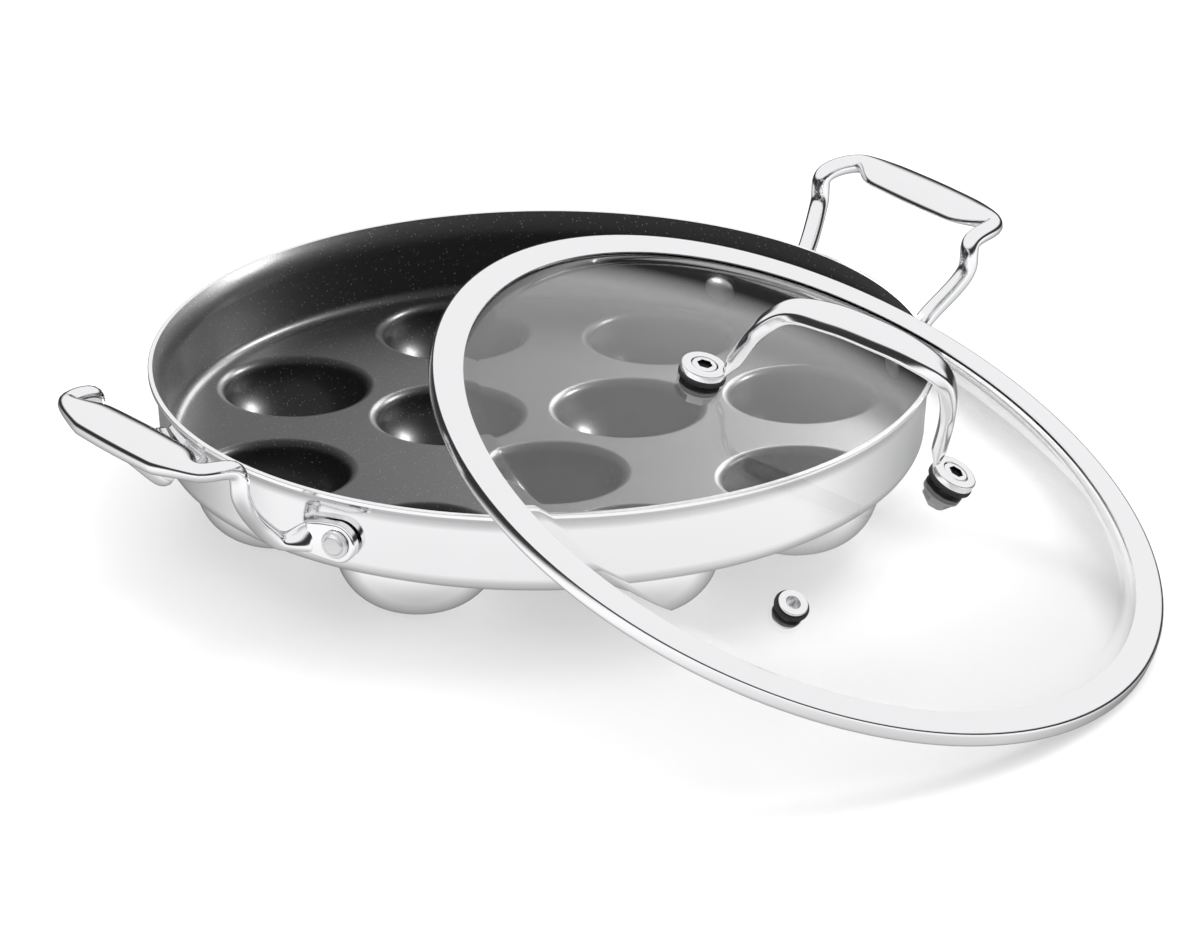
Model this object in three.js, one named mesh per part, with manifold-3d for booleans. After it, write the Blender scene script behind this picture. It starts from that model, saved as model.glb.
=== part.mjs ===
// Paniyaram pan with a glass lid: a clad steel pan with eleven pressed cups and two riveted
// bail handles, and a domed glass lid taken off and leaning on the pan's rim.
// Millimetres, +Z up. The origin is on the pan's axis, in the plane that the cups stand on,
// and X runs through the two side handles.
import * as THREE from 'three';
import { mergeVertices } from 'three/addons/utils/BufferGeometryUtils.js';
import ManifoldModule from 'manifold-3d';

const wasm = await ManifoldModule();
wasm.setup();

// Pan
const RIM_DIAMETER = 240;
const PAN_HEIGHT = 46;
const SHEET = 2.5;
const LIP_FLARE = 2.4;
const LIP_HEIGHT = 4;
const LIP_EDGE = 1.4;
const WALL_DRAFT = 1.3;
const FLOOR_DEPTH = 24.6;
const FLOOR_CORNER = 3.5;

// Pressed cups
const CUP_MOUTH_DIAMETER = 45.6;
const CUP_EDGE_RADIUS = 1.8;
const CUP_FOOT_DIAMETER = 13;
const OUTER_CUPS = 8;
const OUTER_CUP_CIRCLE = 170;
const INNER_CUPS = 3;
const INNER_CUP_CIRCLE = 64;
const CUP_RING_TURN = -3.5;
const OUTER_RING_TURN = -15;

// Side handles
const HANDLE_REACH = 36.5;
const HANDLE_RISE = 15;
const GRIP_HALF_LENGTH = 33;
const GRIP_WIDTH = 16;
const GRIP_THICKNESS = 7;
const GRIP_WEDGE = 0.5;
const ROD_DIAMETER = 5.8;
const LEG_SET_BACK = 11.6;
const LEG_SPREAD = 3;
const LEG_KNEE_DROP = 11;
const LEG_CLEARANCE = 8.7;
const FOOT_SPREAD = 22;
const FOOT_DROP = 15;
const FOOT_LENGTH = 17;
const FOOT_HEIGHT = 12.5;
const FOOT_THICKNESS = 2.8;
const RIVET_DIAMETER = 5;
const RIVET_HEAD_DIAMETER = 10.5;
const RIVET_HEAD_HEIGHT = 2.2;
const RIVET_COLLAR_DIAMETER = 8.8;
const RIVET_COLLAR_HEIGHT = 0.9;
const RIVET_TAIL_DIAMETER = 6.4;
const RIVET_TAIL_HEIGHT = 1.7;
const RIVET_BEVEL = 0.5;

// Lid
const SEAT_OVERLAP = 0.8;
const GLASS = 4;
const BAND_SHEET = 0.7;
const BAND_WIDTH = 9.4;
const BAND_UNDER_SET_BACK = 1.5;
const BAND_CORNER = 1.2;
const DOME_RISE = 20.5;
const LID_HANDLE_SPAN = 79;
const LID_HANDLE_RISE = 33;
const LID_GRIP_WIDTH = 13;
const LID_GRIP_THICKNESS = 5;
const LID_LEG_DIAMETER = 4.8;
const LID_LEG_SET_IN = 5.5;
const LID_FOOT_DIAMETER = 13.8;
const LID_FOOT_THICKNESS = 2.6;
const GASKET_DIAMETER = 14.4;
const GASKET_THICKNESS = 1.2;
const SCREW_DIAMETER = 4.4;
const SCREW_HEAD_DIAMETER = 7.6;
const SCREW_HEAD_HEIGHT = 1.4;
const SCREW_BEVEL = 0.5;
const SCREW_SOCKET = 3.2;
const SCREW_SOCKET_DEPTH = 0.8;
const WASHER_THICKNESS = 0.8;
const NUT_ACROSS_CORNERS = 9.6;
const NUT_HEIGHT = 3.8;
const NUT_FLOOR = 1;
const VENT_CIRCLE = 166;
const VENT_TURN = 4;
const VENT_BORE = 4.2;
const VENT_WALL = 0.8;
const VENT_FLANGE_DIAMETER = 9;
const VENT_FLANGE_THICKNESS = 1;
const VENT_GASKET_DIAMETER = 10.6;
const VENT_GASKET_THICKNESS = 1.2;

// Where the lid leans: its centre and the way it slopes down, seen from above
const LID_CENTRE_X = -4;
const LID_CENTRE_Y = -130.7;
const LID_SLOPE_TOWARDS = -62;
const LID_HANDLE_TURN = 16;

// Clearances
const FIT_GAP = 0.3;
const LEAN_GAP = 0.4;
const TABLE_GAP = 0.2;

// Facets round each kind of piece
const PAN_FACETS = 64;
const CUP_FACETS = 16;
const LID_FACETS = 48;
const SMALL_FACETS = 12;
const BAR_FACETS = 10;
const BAR_STATIONS = 28;
const CURVE_STEPS = 2;
const DOME_STEPS = 4;

// Sizes worked out from the ones above
const rimRadius = RIM_DIAMETER / 2;
const wallRadius = rimRadius - LIP_FLARE;
const mouthRadius = wallRadius - SHEET;
const floorZ = PAN_HEIGHT - FLOOR_DEPTH;
const plateZ = floorZ - SHEET;
const lipRoot = PAN_HEIGHT - LIP_HEIGHT;
const footZ = PAN_HEIGHT - FOOT_DROP;
const lidRadius = mouthRadius + SEAT_OVERLAP;
const bandHeight = GLASS + 2 * (BAND_SHEET + FIT_GAP);
const bandInner = lidRadius - BAND_WIDTH;
const glassTop = -(BAND_SHEET + FIT_GAP);
const domeFoot = bandInner - FIT_GAP;
const domeHeight = DOME_RISE - glassTop;
const domeRadius = (domeFoot ** 2 + domeHeight ** 2) / (2 * domeHeight);
const domeCentre = DOME_RISE - domeRadius;

const radians = THREE.MathUtils.degToRad;

const steel = new THREE.MeshStandardMaterial({ color: 0xd9dadb, roughness: 0.12, metalness: 1 });
const coatedSteel = new THREE.MeshStandardMaterial({ color: 0x4a4a4b, roughness: 0.4, metalness: 0.6 });
const clearGlass = new THREE.MeshStandardMaterial({
  color: 0xeef2f2, roughness: 0.03, metalness: 0, transparent: true, opacity: 0.25,
});
const silicone = new THREE.MeshStandardMaterial({ color: 0x1b1b1c, roughness: 0.7, metalness: 0 });

// Merges a geometry's shared corners, drops empty triangles and points its faces outwards
function closedGeometry(geometry) {
  const bare = geometry.clone();
  bare.deleteAttribute('normal');
  bare.deleteAttribute('uv');
  const merged = mergeVertices(bare, 1e-4);
  const place = merged.attributes.position;
  const corner = [new THREE.Vector3(), new THREE.Vector3(), new THREE.Vector3()];
  const kept = [];
  let volume = 0;
  for (let i = 0; i < merged.index.count; i += 3) {
    const [a, b, c] = [0, 1, 2].map((k) => merged.index.getX(i + k));
    if (a === b || b === c || c === a) continue;
    [a, b, c].forEach((vertex, k) => corner[k].fromBufferAttribute(place, vertex));
    volume += corner[0].dot(corner[1].clone().cross(corner[2]));
    kept.push([a, b, c]);
  }
  const faces = volume > 0 ? kept : kept.map(([a, b, c]) => [a, c, b]);
  const result = new THREE.BufferGeometry();
  result.setAttribute('position', place.clone());
  result.setIndex(faces.flat());
  return result;
}

function toSolid(geometry) {
  const closed = closedGeometry(geometry);
  return new wasm.Manifold(new wasm.Mesh({
    numProp: 3,
    vertProperties: new Float32Array(closed.attributes.position.array),
    triVerts: new Uint32Array(closed.index.array),
  }));
}

function toGeometry(solid) {
  const mesh = solid.getMesh();
  const geometry = new THREE.BufferGeometry();
  geometry.setAttribute('position', new THREE.BufferAttribute(new Float32Array(mesh.vertProperties), 3));
  geometry.setIndex(new THREE.BufferAttribute(new Uint32Array(mesh.triVerts), 1));
  geometry.computeVertexNormals();
  return geometry;
}

// Turns an outline of (radius, height) points round the Z axis
function revolve(outline, facets) {
  return new THREE.LatheGeometry(outline, facets).rotateX(Math.PI / 2);
}

// A closed outline through (radius, height) pairs
function ringOutline(pairs) {
  const points = pairs.map(([r, z]) => new THREE.Vector2(r, z));
  return [...points, points[0].clone()];
}

function ring(inner, outer, bottom, top, facets = SMALL_FACETS) {
  return revolve(ringOutline([[inner, bottom], [outer, bottom], [outer, top], [inner, top]]), facets);
}

// A plain rod from one height to another, for cutting holes
function rod(radius, bottom, top, facets = SMALL_FACETS) {
  const outline = [[0, bottom], [radius, bottom], [radius, top], [0, top]];
  return revolve(outline.map(([r, z]) => new THREE.Vector2(r, z)), facets);
}

function part(name, geometry, material) {
  const mesh = new THREE.Mesh(geometry, material);
  mesh.name = name;
  return mesh;
}

// A place on a bar's route, with the section it has there
function stop(at, width, thickness, across, wedge = 0) {
  return { at, width, thickness, across, wedge };
}

// Joins a row of equal rings of points into one closed skin
function loft(rings) {
  const count = rings[0].length;
  const points = rings.flat();
  const faces = [];
  for (let r = 0; r + 1 < rings.length; r += 1) {
    for (let i = 0; i < count; i += 1) {
      const j = (i + 1) % count;
      const [a, b] = [r * count + i, r * count + j];
      faces.push([a, b, b + count], [a, b + count, a + count]);
    }
  }
  const last = (rings.length - 1) * count;
  for (let i = 1; i + 1 < count; i += 1) {
    faces.push([0, i + 1, i], [last, last + i, last + i + 1]);
  }
  const geometry = new THREE.BufferGeometry().setFromPoints(points);
  geometry.setIndex(faces.flat());
  return geometry;
}

// A bar whose section grows, flattens and turns along a smooth route.
// Each stop gives a place, the section's width and thickness, and the way its width lies,
// and a wedge makes one side of the section deeper than the other.
function shapedBar(stops) {
  const route = new THREE.CatmullRomCurve3(stops.map((stop) => stop.at), false, 'centripetal');
  const rings = [];
  for (let s = 0; s <= BAR_STATIONS; s += 1) {
    const along = s / BAR_STATIONS;
    const span = along * (stops.length - 1);
    const low = Math.min(Math.floor(span), stops.length - 2);
    const mix = THREE.MathUtils.smoothstep(span - low, 0, 1);
    const [from, to] = [stops[low], stops[low + 1]];
    const tangent = route.getTangent(along);
    const wide = from.across.clone().lerp(to.across, mix);
    wide.addScaledVector(tangent, -wide.dot(tangent)).normalize();
    const thin = tangent.clone().cross(wide);
    const halfWidth = THREE.MathUtils.lerp(from.width, to.width, mix) / 2;
    const halfThickness = THREE.MathUtils.lerp(from.thickness, to.thickness, mix) / 2;
    const wedge = THREE.MathUtils.lerp(from.wedge, to.wedge, mix);
    const centre = route.getPoint(along);
    rings.push(Array.from({ length: BAR_FACETS }, (_, i) => {
      const turn = (i + 0.5) / BAR_FACETS * 2 * Math.PI;
      const deeper = Math.sin(turn) > 0 ? 1 + wedge * Math.cos(turn) : 1;
      return centre.clone()
        .addScaledVector(wide, halfWidth * Math.cos(turn))
        .addScaledVector(thin, halfThickness * Math.sin(turn) * deeper);
    }));
  }
  return loft(rings);
}

// Places of the cups: a ring of eight and a ring of three inside it
function cupPlaces() {
  const circle = (count, diameter, turn) => Array.from({ length: count }, (_, i) => {
    const azimuth = radians(turn + i * 360 / count);
    return new THREE.Vector2(Math.cos(azimuth), Math.sin(azimuth)).multiplyScalar(diameter / 2);
  });
  return [
    ...circle(INNER_CUPS, INNER_CUP_CIRCLE, CUP_RING_TURN),
    ...circle(OUTER_CUPS, OUTER_CUP_CIRCLE, CUP_RING_TURN + OUTER_RING_TURN),
  ];
}

// The outside of the pan, as if it were full
function panOutside() {
  const outline = new THREE.Path().moveTo(0, plateZ);
  const corner = FLOOR_CORNER + SHEET;
  const footRadius = wallRadius - WALL_DRAFT;
  outline.lineTo(footRadius - corner, plateZ);
  outline.absarc(footRadius - corner, plateZ + corner, corner, -Math.PI / 2, 0);
  outline.lineTo(wallRadius, lipRoot);
  outline.quadraticCurveTo(wallRadius, PAN_HEIGHT - LIP_EDGE, rimRadius, PAN_HEIGHT - LIP_EDGE);
  outline.lineTo(rimRadius, PAN_HEIGHT);
  outline.lineTo(0, PAN_HEIGHT);
  return toSolid(revolve(outline.getPoints(CURVE_STEPS), PAN_FACETS));
}

// The space inside the pan, open at the top and flared at the lip
function panInside() {
  const aboveRim = PAN_HEIGHT + SHEET;
  const footRadius = mouthRadius - WALL_DRAFT;
  const lipInner = rimRadius - LIP_EDGE;
  const outline = new THREE.Path().moveTo(0, floorZ);
  outline.lineTo(footRadius - FLOOR_CORNER, floorZ);
  outline.absarc(footRadius - FLOOR_CORNER, floorZ + FLOOR_CORNER, FLOOR_CORNER, -Math.PI / 2, 0);
  outline.lineTo(mouthRadius, lipRoot);
  outline.quadraticCurveTo(mouthRadius, PAN_HEIGHT, lipInner, PAN_HEIGHT);
  outline.lineTo(lipInner, aboveRim);
  outline.lineTo(0, aboveRim);
  return toSolid(revolve(outline.getPoints(CURVE_STEPS), PAN_FACETS));
}

// One cup's outside bulge and its hollow, on its own axis
function cupShapes() {
  const foot = CUP_FOOT_DIAMETER / 2;
  const mouth = CUP_MOUTH_DIAMETER / 2;
  const bulgeTop = (plateZ + floorZ) / 2;
  const bulge = new THREE.Path().moveTo(0, 0);
  bulge.lineTo(foot, 0);
  bulge.absellipse(foot, bulgeTop, mouth + SHEET - foot, bulgeTop, -Math.PI / 2, 0);
  bulge.lineTo(0, bulgeTop);
  const hollow = new THREE.Path().moveTo(0, SHEET);
  const hollowTop = floorZ - CUP_EDGE_RADIUS;
  hollow.lineTo(foot, SHEET);
  hollow.absellipse(foot, hollowTop, mouth - foot, hollowTop - SHEET, -Math.PI / 2, 0);
  hollow.quadraticCurveTo(mouth, floorZ, mouth + CUP_EDGE_RADIUS, floorZ);
  hollow.lineTo(mouth + CUP_EDGE_RADIUS, floorZ + SHEET);
  hollow.lineTo(0, floorZ + SHEET);
  return [bulge, hollow].map((path) => toSolid(revolve(path.getPoints(CURVE_STEPS), CUP_FACETS)));
}

// Where the four handle feet sit: their rivet's azimuth round the pan
const footAzimuths = {
  left_front: 180 + FOOT_SPREAD,
  left_rear: 180 - FOOT_SPREAD,
  right_front: -FOOT_SPREAD,
  right_rear: FOOT_SPREAD,
};

// Turns a shape made along +Z so that it points outwards from the pan's axis at a foot
function pointOutwards(geometry, azimuth) {
  return geometry.rotateY(Math.PI / 2).rotateZ(radians(azimuth)).translate(0, 0, footZ);
}

function panBody() {
  const [bulge, hollow] = cupShapes();
  let outside = panOutside();
  let inside = panInside();
  for (const place of cupPlaces()) {
    outside = outside.add(bulge.translate([place.x, place.y, 0]));
    inside = inside.add(hollow.translate([place.x, place.y, 0]));
  }
  let body = outside.subtract(inside);
  for (const azimuth of Object.values(footAzimuths)) {
    const hole = rod(RIVET_DIAMETER / 2 + FIT_GAP, mouthRadius / 2, rimRadius);
    body = body.subtract(toSolid(pointOutwards(hole, azimuth)));
  }
  return part('pan_body', toGeometry(body), coatedSteel);
}

// Distance of a foot's inner face from the pan's axis, clear of the leaning wall
const footFace = wallRadius + FIT_GAP;

// A foot: a plate against the wall, round at its far end, with the rivet's hole
function handleFoot(side) {
  const half = FOOT_HEIGHT / 2;
  const near = half - FOOT_LENGTH;
  const outline = new THREE.Shape().moveTo(near * side, -half * 0.8);
  outline.lineTo(0, -half);
  outline.absarc(0, 0, half, -Math.PI / 2, Math.PI / 2, side < 0);
  outline.lineTo(near * side, half * 0.8);
  outline.closePath();
  const hole = new THREE.Path().absarc(0, 0, RIVET_DIAMETER / 2 + FIT_GAP, 0, 2 * Math.PI);
  outline.holes.push(hole);
  const plate = new THREE.ExtrudeGeometry(outline, {
    depth: FOOT_THICKNESS, bevelEnabled: false, curveSegments: SMALL_FACETS / 2,
  });
  return plate.rotateZ(Math.PI / 2).rotateY(Math.PI / 2);
}

// A bail handle for the side that X points to, made from its middle out to each foot
function bailHandle() {
  const gripX = rimRadius + HANDLE_REACH - GRIP_WIDTH / 4;
  const gripZ = PAN_HEIGHT + HANDLE_RISE;
  const legX = gripX - LEG_SET_BACK;
  const legY = GRIP_HALF_LENGTH + LEG_SPREAD;
  const rodWall = footFace + ROD_DIAMETER / 2;
  const footMiddle = footFace + FOOT_THICKNESS / 2;
  const bend = ROD_DIAMETER / 3;
  const down = new THREE.Vector3(0, 0, -1);
  const out = new THREE.Vector3(1, 0, 0);
  const grip = (x, y, size) => stop(
    new THREE.Vector3(x, y, gripZ), GRIP_WIDTH * size, GRIP_THICKNESS * size, out, GRIP_WEDGE);
  const round = (at, across) => stop(at, ROD_DIAMETER, ROD_DIAMETER, across);
  const half = (side) => {
    const onWall = (radius, slide, z) => {
      const azimuth = radians(FOOT_SPREAD);
      const x = radius * Math.cos(azimuth) - slide * Math.sin(azimuth);
      const y = radius * Math.sin(azimuth) + slide * Math.cos(azimuth);
      return new THREE.Vector3(x, side * y, z);
    };
    return [
      grip(gripX, side * GRIP_HALF_LENGTH * 0.55, 0.95),
      round(new THREE.Vector3(gripX, side * GRIP_HALF_LENGTH, gripZ), out),
      round(new THREE.Vector3(legX, side * legY, gripZ - bend), out),
      round(new THREE.Vector3(legX - bend, side * legY, gripZ - LEG_KNEE_DROP), out.clone().lerp(down, 0.4)),
      round(onWall(rodWall + LEG_CLEARANCE, -FOOT_LENGTH * 1.1, footZ + ROD_DIAMETER / 2),
        out.clone().lerp(down, 0.7)),
      round(onWall(rodWall + ROD_DIAMETER / 2, -FOOT_LENGTH, footZ - ROD_DIAMETER / 2), down),
      stop(onWall(footMiddle + FOOT_THICKNESS / 5, -FOOT_LENGTH * 0.55, footZ), FOOT_HEIGHT * 0.72,
        FOOT_THICKNESS, down),
      stop(onWall(footMiddle, -RIVET_HEAD_DIAMETER * 0.6, footZ), FOOT_HEIGHT * 0.6, FOOT_THICKNESS * 0.6, down),
    ];
  };
  let handle = toSolid(shapedBar([...half(-1).reverse(), grip(gripX, 0, 1), ...half(1)]));
  for (const side of [-1, 1]) {
    const plate = handleFoot(side).translate(footFace, 0, 0).rotateZ(radians(side * FOOT_SPREAD));
    handle = handle.add(toSolid(plate.translate(0, 0, footZ)));
  }
  return toGeometry(handle);
}

// A rivet through the wall and a foot: a domed head inside, a collar and a tail outside
function rivet() {
  const wallInner = mouthRadius - WALL_DRAFT;
  const headFace = wallInner - FIT_GAP * 2;
  const collarFace = footFace + FOOT_THICKNESS + FIT_GAP;
  const head = RIVET_HEAD_DIAMETER / 2;
  const shank = RIVET_DIAMETER / 2;
  const collarTop = collarFace + RIVET_COLLAR_HEIGHT;
  const outline = new THREE.Path().moveTo(0, headFace - RIVET_HEAD_HEIGHT);
  outline.bezierCurveTo(head * 0.6, headFace - RIVET_HEAD_HEIGHT, head, headFace - RIVET_HEAD_HEIGHT / 2,
    head, headFace);
  outline.lineTo(shank, headFace);
  outline.lineTo(shank, collarFace);
  outline.lineTo(RIVET_COLLAR_DIAMETER / 2, collarFace);
  outline.lineTo(RIVET_COLLAR_DIAMETER / 2 - RIVET_BEVEL, collarTop);
  outline.lineTo(RIVET_TAIL_DIAMETER / 2, collarTop);
  outline.lineTo(RIVET_TAIL_DIAMETER / 2 - RIVET_BEVEL, collarFace + RIVET_TAIL_HEIGHT);
  outline.lineTo(0, collarFace + RIVET_TAIL_HEIGHT);
  return revolve(outline.getPoints(CURVE_STEPS), SMALL_FACETS);
}

function pan() {
  const group = new THREE.Group();
  group.add(panBody());
  const handle = bailHandle();
  const right = part('handle_right', handle, steel);
  const left = part('handle_left', handle, steel);
  left.rotation.z = Math.PI;
  group.add(right, left);
  for (const [place, azimuth] of Object.entries(footAzimuths)) {
    group.add(part(`rivet_${place}`, closedGeometry(pointOutwards(rivet(), azimuth)), steel));
  }
  return group;
}

// Height of the dome's outer face over the band's top face, at a distance from the lid's axis
function domeAt(distance) {
  return domeCentre + Math.sqrt(domeRadius ** 2 - distance ** 2);
}

// A group standing on the dome's outer face, square to it
function standOnDome(x, y) {
  const seat = new THREE.Group();
  const place = new THREE.Vector3(x, y, domeAt(Math.hypot(x, y)));
  const normal = place.clone().sub(new THREE.Vector3(0, 0, domeCentre)).normalize();
  seat.position.copy(place);
  seat.quaternion.setFromUnitVectors(new THREE.Vector3(0, 0, 1), normal);
  seat.updateMatrix();
  return seat;
}

const lidFeet = { upper: standOnDome(-LID_HANDLE_SPAN / 2, 0), lower: standOnDome(LID_HANDLE_SPAN / 2, 0) };
const vent = standOnDome(
  VENT_CIRCLE / 2 * Math.sin(radians(VENT_TURN)), -VENT_CIRCLE / 2 * Math.cos(radians(VENT_TURN)));
const screwHole = SCREW_DIAMETER / 2 + FIT_GAP;
const ventHole = VENT_BORE / 2 + VENT_WALL + FIT_GAP;

// The domed glass: a cap with a flat edge for the band, and three holes
function lidGlass() {
  const edge = lidRadius - BAND_SHEET - FIT_GAP;
  const inner = domeRadius - GLASS;
  const underside = glassTop - GLASS;
  const turnAt = (radius, z) => Math.asin((z - domeCentre) / radius);
  const outline = new THREE.Path().moveTo(0, DOME_RISE);
  outline.absarc(0, domeCentre, domeRadius, Math.PI / 2, turnAt(domeRadius, glassTop), true);
  outline.lineTo(edge, glassTop);
  outline.lineTo(edge, underside);
  outline.absarc(0, domeCentre, inner, turnAt(inner, underside), Math.PI / 2, false);
  let glass = toSolid(revolve(outline.getPoints(DOME_STEPS), LID_FACETS));
  const drill = (seat, radius) => {
    const hole = rod(radius, -3 * GLASS, 3 * GLASS);
    glass = glass.subtract(toSolid(hole.applyMatrix4(seat.matrix)));
  };
  drill(lidFeet.upper, screwHole);
  drill(lidFeet.lower, screwHole);
  drill(vent, ventHole);
  return part('lid_glass', toGeometry(glass), clearGlass);
}

// The rolled steel band: a channel that grips the glass's edge
function lidBand() {
  const under = bandInner + BAND_UNDER_SET_BACK;
  const wall = lidRadius - BAND_SHEET;
  const outline = ringOutline([
    [bandInner, 0], [bandInner, -BAND_SHEET], [wall, -BAND_SHEET], [wall, BAND_SHEET - bandHeight],
    [under, BAND_SHEET - bandHeight], [under, -bandHeight], [lidRadius - BAND_CORNER, -bandHeight],
    [lidRadius, BAND_CORNER - bandHeight], [lidRadius, -BAND_CORNER], [lidRadius - BAND_CORNER, 0],
  ]);
  return part('lid_band', closedGeometry(revolve(outline, LID_FACETS)), steel);
}

// Heights of the pieces stacked at a foot of the lid's handle, from the glass's outer face
const gasketBottom = FIT_GAP;
const footBottom = gasketBottom + GASKET_THICKNESS + FIT_GAP;
const footTop = footBottom + LID_FOOT_THICKNESS;
const recessBottom = footTop - SCREW_HEAD_HEIGHT;
const underGasketTop = -GLASS - FIT_GAP;
const washerTop = underGasketTop - GASKET_THICKNESS - FIT_GAP;
const nutTop = washerTop - WASHER_THICKNESS - FIT_GAP;
const nutBottom = nutTop - NUT_HEIGHT;

// The lid's arched handle, between two round feet that hold the screws: slim legs that lean in,
// round shoulders and a wide grip
function lidHandle() {
  const footMiddle = lidFeet.lower.position.z + footBottom + LID_FOOT_THICKNESS / 2;
  const legX = LID_HANDLE_SPAN / 2 - LID_LEG_SET_IN;
  const across = new THREE.Vector3(0, 1, 0);
  const at = (x, rise) => new THREE.Vector3(x * legX, 0, footMiddle + rise * LID_HANDLE_RISE);
  const leg = (x, rise) => stop(at(x, rise), LID_LEG_DIAMETER, LID_LEG_DIAMETER, across);
  const grip = (x, rise, size) => stop(at(x, rise), LID_GRIP_WIDTH * size, LID_GRIP_THICKNESS, across);
  const half = (side) => [
    grip(side * 0.37, 0.98, 0.95),
    grip(side * 0.7, 0.885, 0.7),
    grip(side * 0.83, 0.72, 0.5),
    leg(side * 0.915, 0.46),
    leg(side * 0.96, 0.2),
    stop(at(side, 0), LID_LEG_DIAMETER, LID_FOOT_THICKNESS * 0.6, across),
  ];
  let handle = toSolid(shapedBar([...half(-1).reverse(), grip(0, 1, 1), ...half(1)]));
  for (const seat of Object.values(lidFeet)) {
    const disc = rod(LID_FOOT_DIAMETER / 2, footBottom, footTop, SMALL_FACETS + 4);
    const recess = rod(SCREW_HEAD_DIAMETER / 2 + FIT_GAP, recessBottom, footTop + LID_FOOT_THICKNESS / 4);
    const hole = rod(screwHole, footBottom - FIT_GAP, footTop);
    handle = handle.add(toSolid(disc.applyMatrix4(seat.matrix)));
    handle = handle.subtract(toSolid(recess.applyMatrix4(seat.matrix)));
    handle = handle.subtract(toSolid(hole.applyMatrix4(seat.matrix)));
  }
  return part('lid_handle', toGeometry(handle), steel);
}

// A screw from above, with a hexagon socket, that ends inside the cap nut
function lidScrew() {
  const head = SCREW_HEAD_DIAMETER / 2;
  const headBottom = recessBottom + FIT_GAP;
  const headTop = headBottom + SCREW_HEAD_HEIGHT - FIT_GAP;
  const tip = nutBottom + NUT_FLOOR + FIT_GAP;
  const outline = [[0, tip], [SCREW_DIAMETER / 2, tip], [SCREW_DIAMETER / 2, headBottom], [head, headBottom],
    [head, headTop - SCREW_BEVEL], [head - SCREW_BEVEL, headTop], [0, headTop]];
  const body = toSolid(revolve(outline.map(([r, z]) => new THREE.Vector2(r, z)), SMALL_FACETS));
  const socket = rod(SCREW_SOCKET / 2, headTop - SCREW_SOCKET_DEPTH, headTop + SCREW_SOCKET_DEPTH, 6);
  return toGeometry(body.subtract(toSolid(socket)));
}

// A cap nut under the glass, bored from above
function capNut() {
  const corner = NUT_ACROSS_CORNERS / 2;
  const outline = [[0, nutBottom], [corner * 0.6, nutBottom], [corner, nutBottom + NUT_FLOOR * 1.5],
    [corner, nutTop], [0, nutTop]];
  const body = toSolid(revolve(outline.map(([r, z]) => new THREE.Vector2(r, z)), 6));
  const bore = rod(screwHole, nutBottom + NUT_FLOOR, nutTop + NUT_FLOOR);
  return toGeometry(body.subtract(toSolid(bore)));
}

// What holds one foot of the handle: screw, gaskets above and below the glass, washer and cap nut
function lidFixing(place, seat) {
  const gasket = GASKET_DIAMETER / 2;
  const under = gasket - GASKET_THICKNESS;
  const pieces = [
    part(`lid_screw_${place}`, lidScrew(), steel),
    part(`lid_gasket_${place}`, closedGeometry(
      ring(screwHole, gasket, gasketBottom, gasketBottom + GASKET_THICKNESS)), silicone),
    part(`lid_under_gasket_${place}`, closedGeometry(
      ring(screwHole, under, underGasketTop - GASKET_THICKNESS, underGasketTop)), silicone),
    part(`lid_washer_${place}`, closedGeometry(
      ring(screwHole, under, washerTop - WASHER_THICKNESS, washerTop)), steel),
    part(`lid_nut_${place}`, capNut(), steel),
  ];
  seat.add(...pieces);
  return seat;
}

// The steam vent: a flanged eyelet through the glass, with a gasket on each face
function steamVent() {
  const bore = VENT_BORE / 2;
  const tube = bore + VENT_WALL;
  const flange = VENT_FLANGE_DIAMETER / 2;
  const gasketHole = tube + FIT_GAP;
  const flangeBottom = VENT_GASKET_THICKNESS + 2 * FIT_GAP;
  const flangeTop = flangeBottom + VENT_FLANGE_THICKNESS;
  const rollTop = -GLASS - flangeBottom;
  const rollBottom = rollTop - VENT_FLANGE_THICKNESS;
  const roll = flange - VENT_WALL / 2;
  const eyelet = ringOutline([
    [bore, flangeTop], [bore, rollBottom], [roll, rollBottom], [roll, rollTop], [tube, rollTop],
    [tube, flangeBottom], [flange, flangeBottom], [flange, flangeTop - VENT_WALL / 2],
    [flange - VENT_WALL / 2, flangeTop],
  ]);
  const gasket = VENT_GASKET_DIAMETER / 2;
  const lowerTop = -GLASS - FIT_GAP;
  vent.add(
    part('vent_eyelet', closedGeometry(revolve(eyelet, SMALL_FACETS)), steel),
    part('vent_gasket', closedGeometry(
      ring(gasketHole, gasket, FIT_GAP, FIT_GAP + VENT_GASKET_THICKNESS)), silicone),
    part('vent_under_gasket', closedGeometry(
      ring(gasketHole, gasket - VENT_WALL, lowerTop - VENT_GASKET_THICKNESS, lowerTop)), silicone),
  );
  return vent;
}

// The lid's axes when it slopes at an angle: its normal, the way down it and the way across
function lidAxes(slope) {
  const down = radians(LID_SLOPE_TOWARDS);
  const normal = new THREE.Vector3(
    Math.sin(slope) * Math.cos(down), Math.sin(slope) * Math.sin(down), Math.cos(slope));
  const downhill = new THREE.Vector3(
    Math.cos(slope) * Math.cos(down), Math.cos(slope) * Math.sin(down), -Math.sin(slope));
  return { normal, downhill, across: normal.clone().cross(downhill) };
}

// The lid's centre, on its band's top face, when its lowest edge is on the table
function lidPlace(slope) {
  const height = TABLE_GAP + bandHeight * Math.cos(slope) + lidRadius * Math.sin(slope);
  return new THREE.Vector3(LID_CENTRE_X, LID_CENTRE_Y, height);
}

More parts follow.
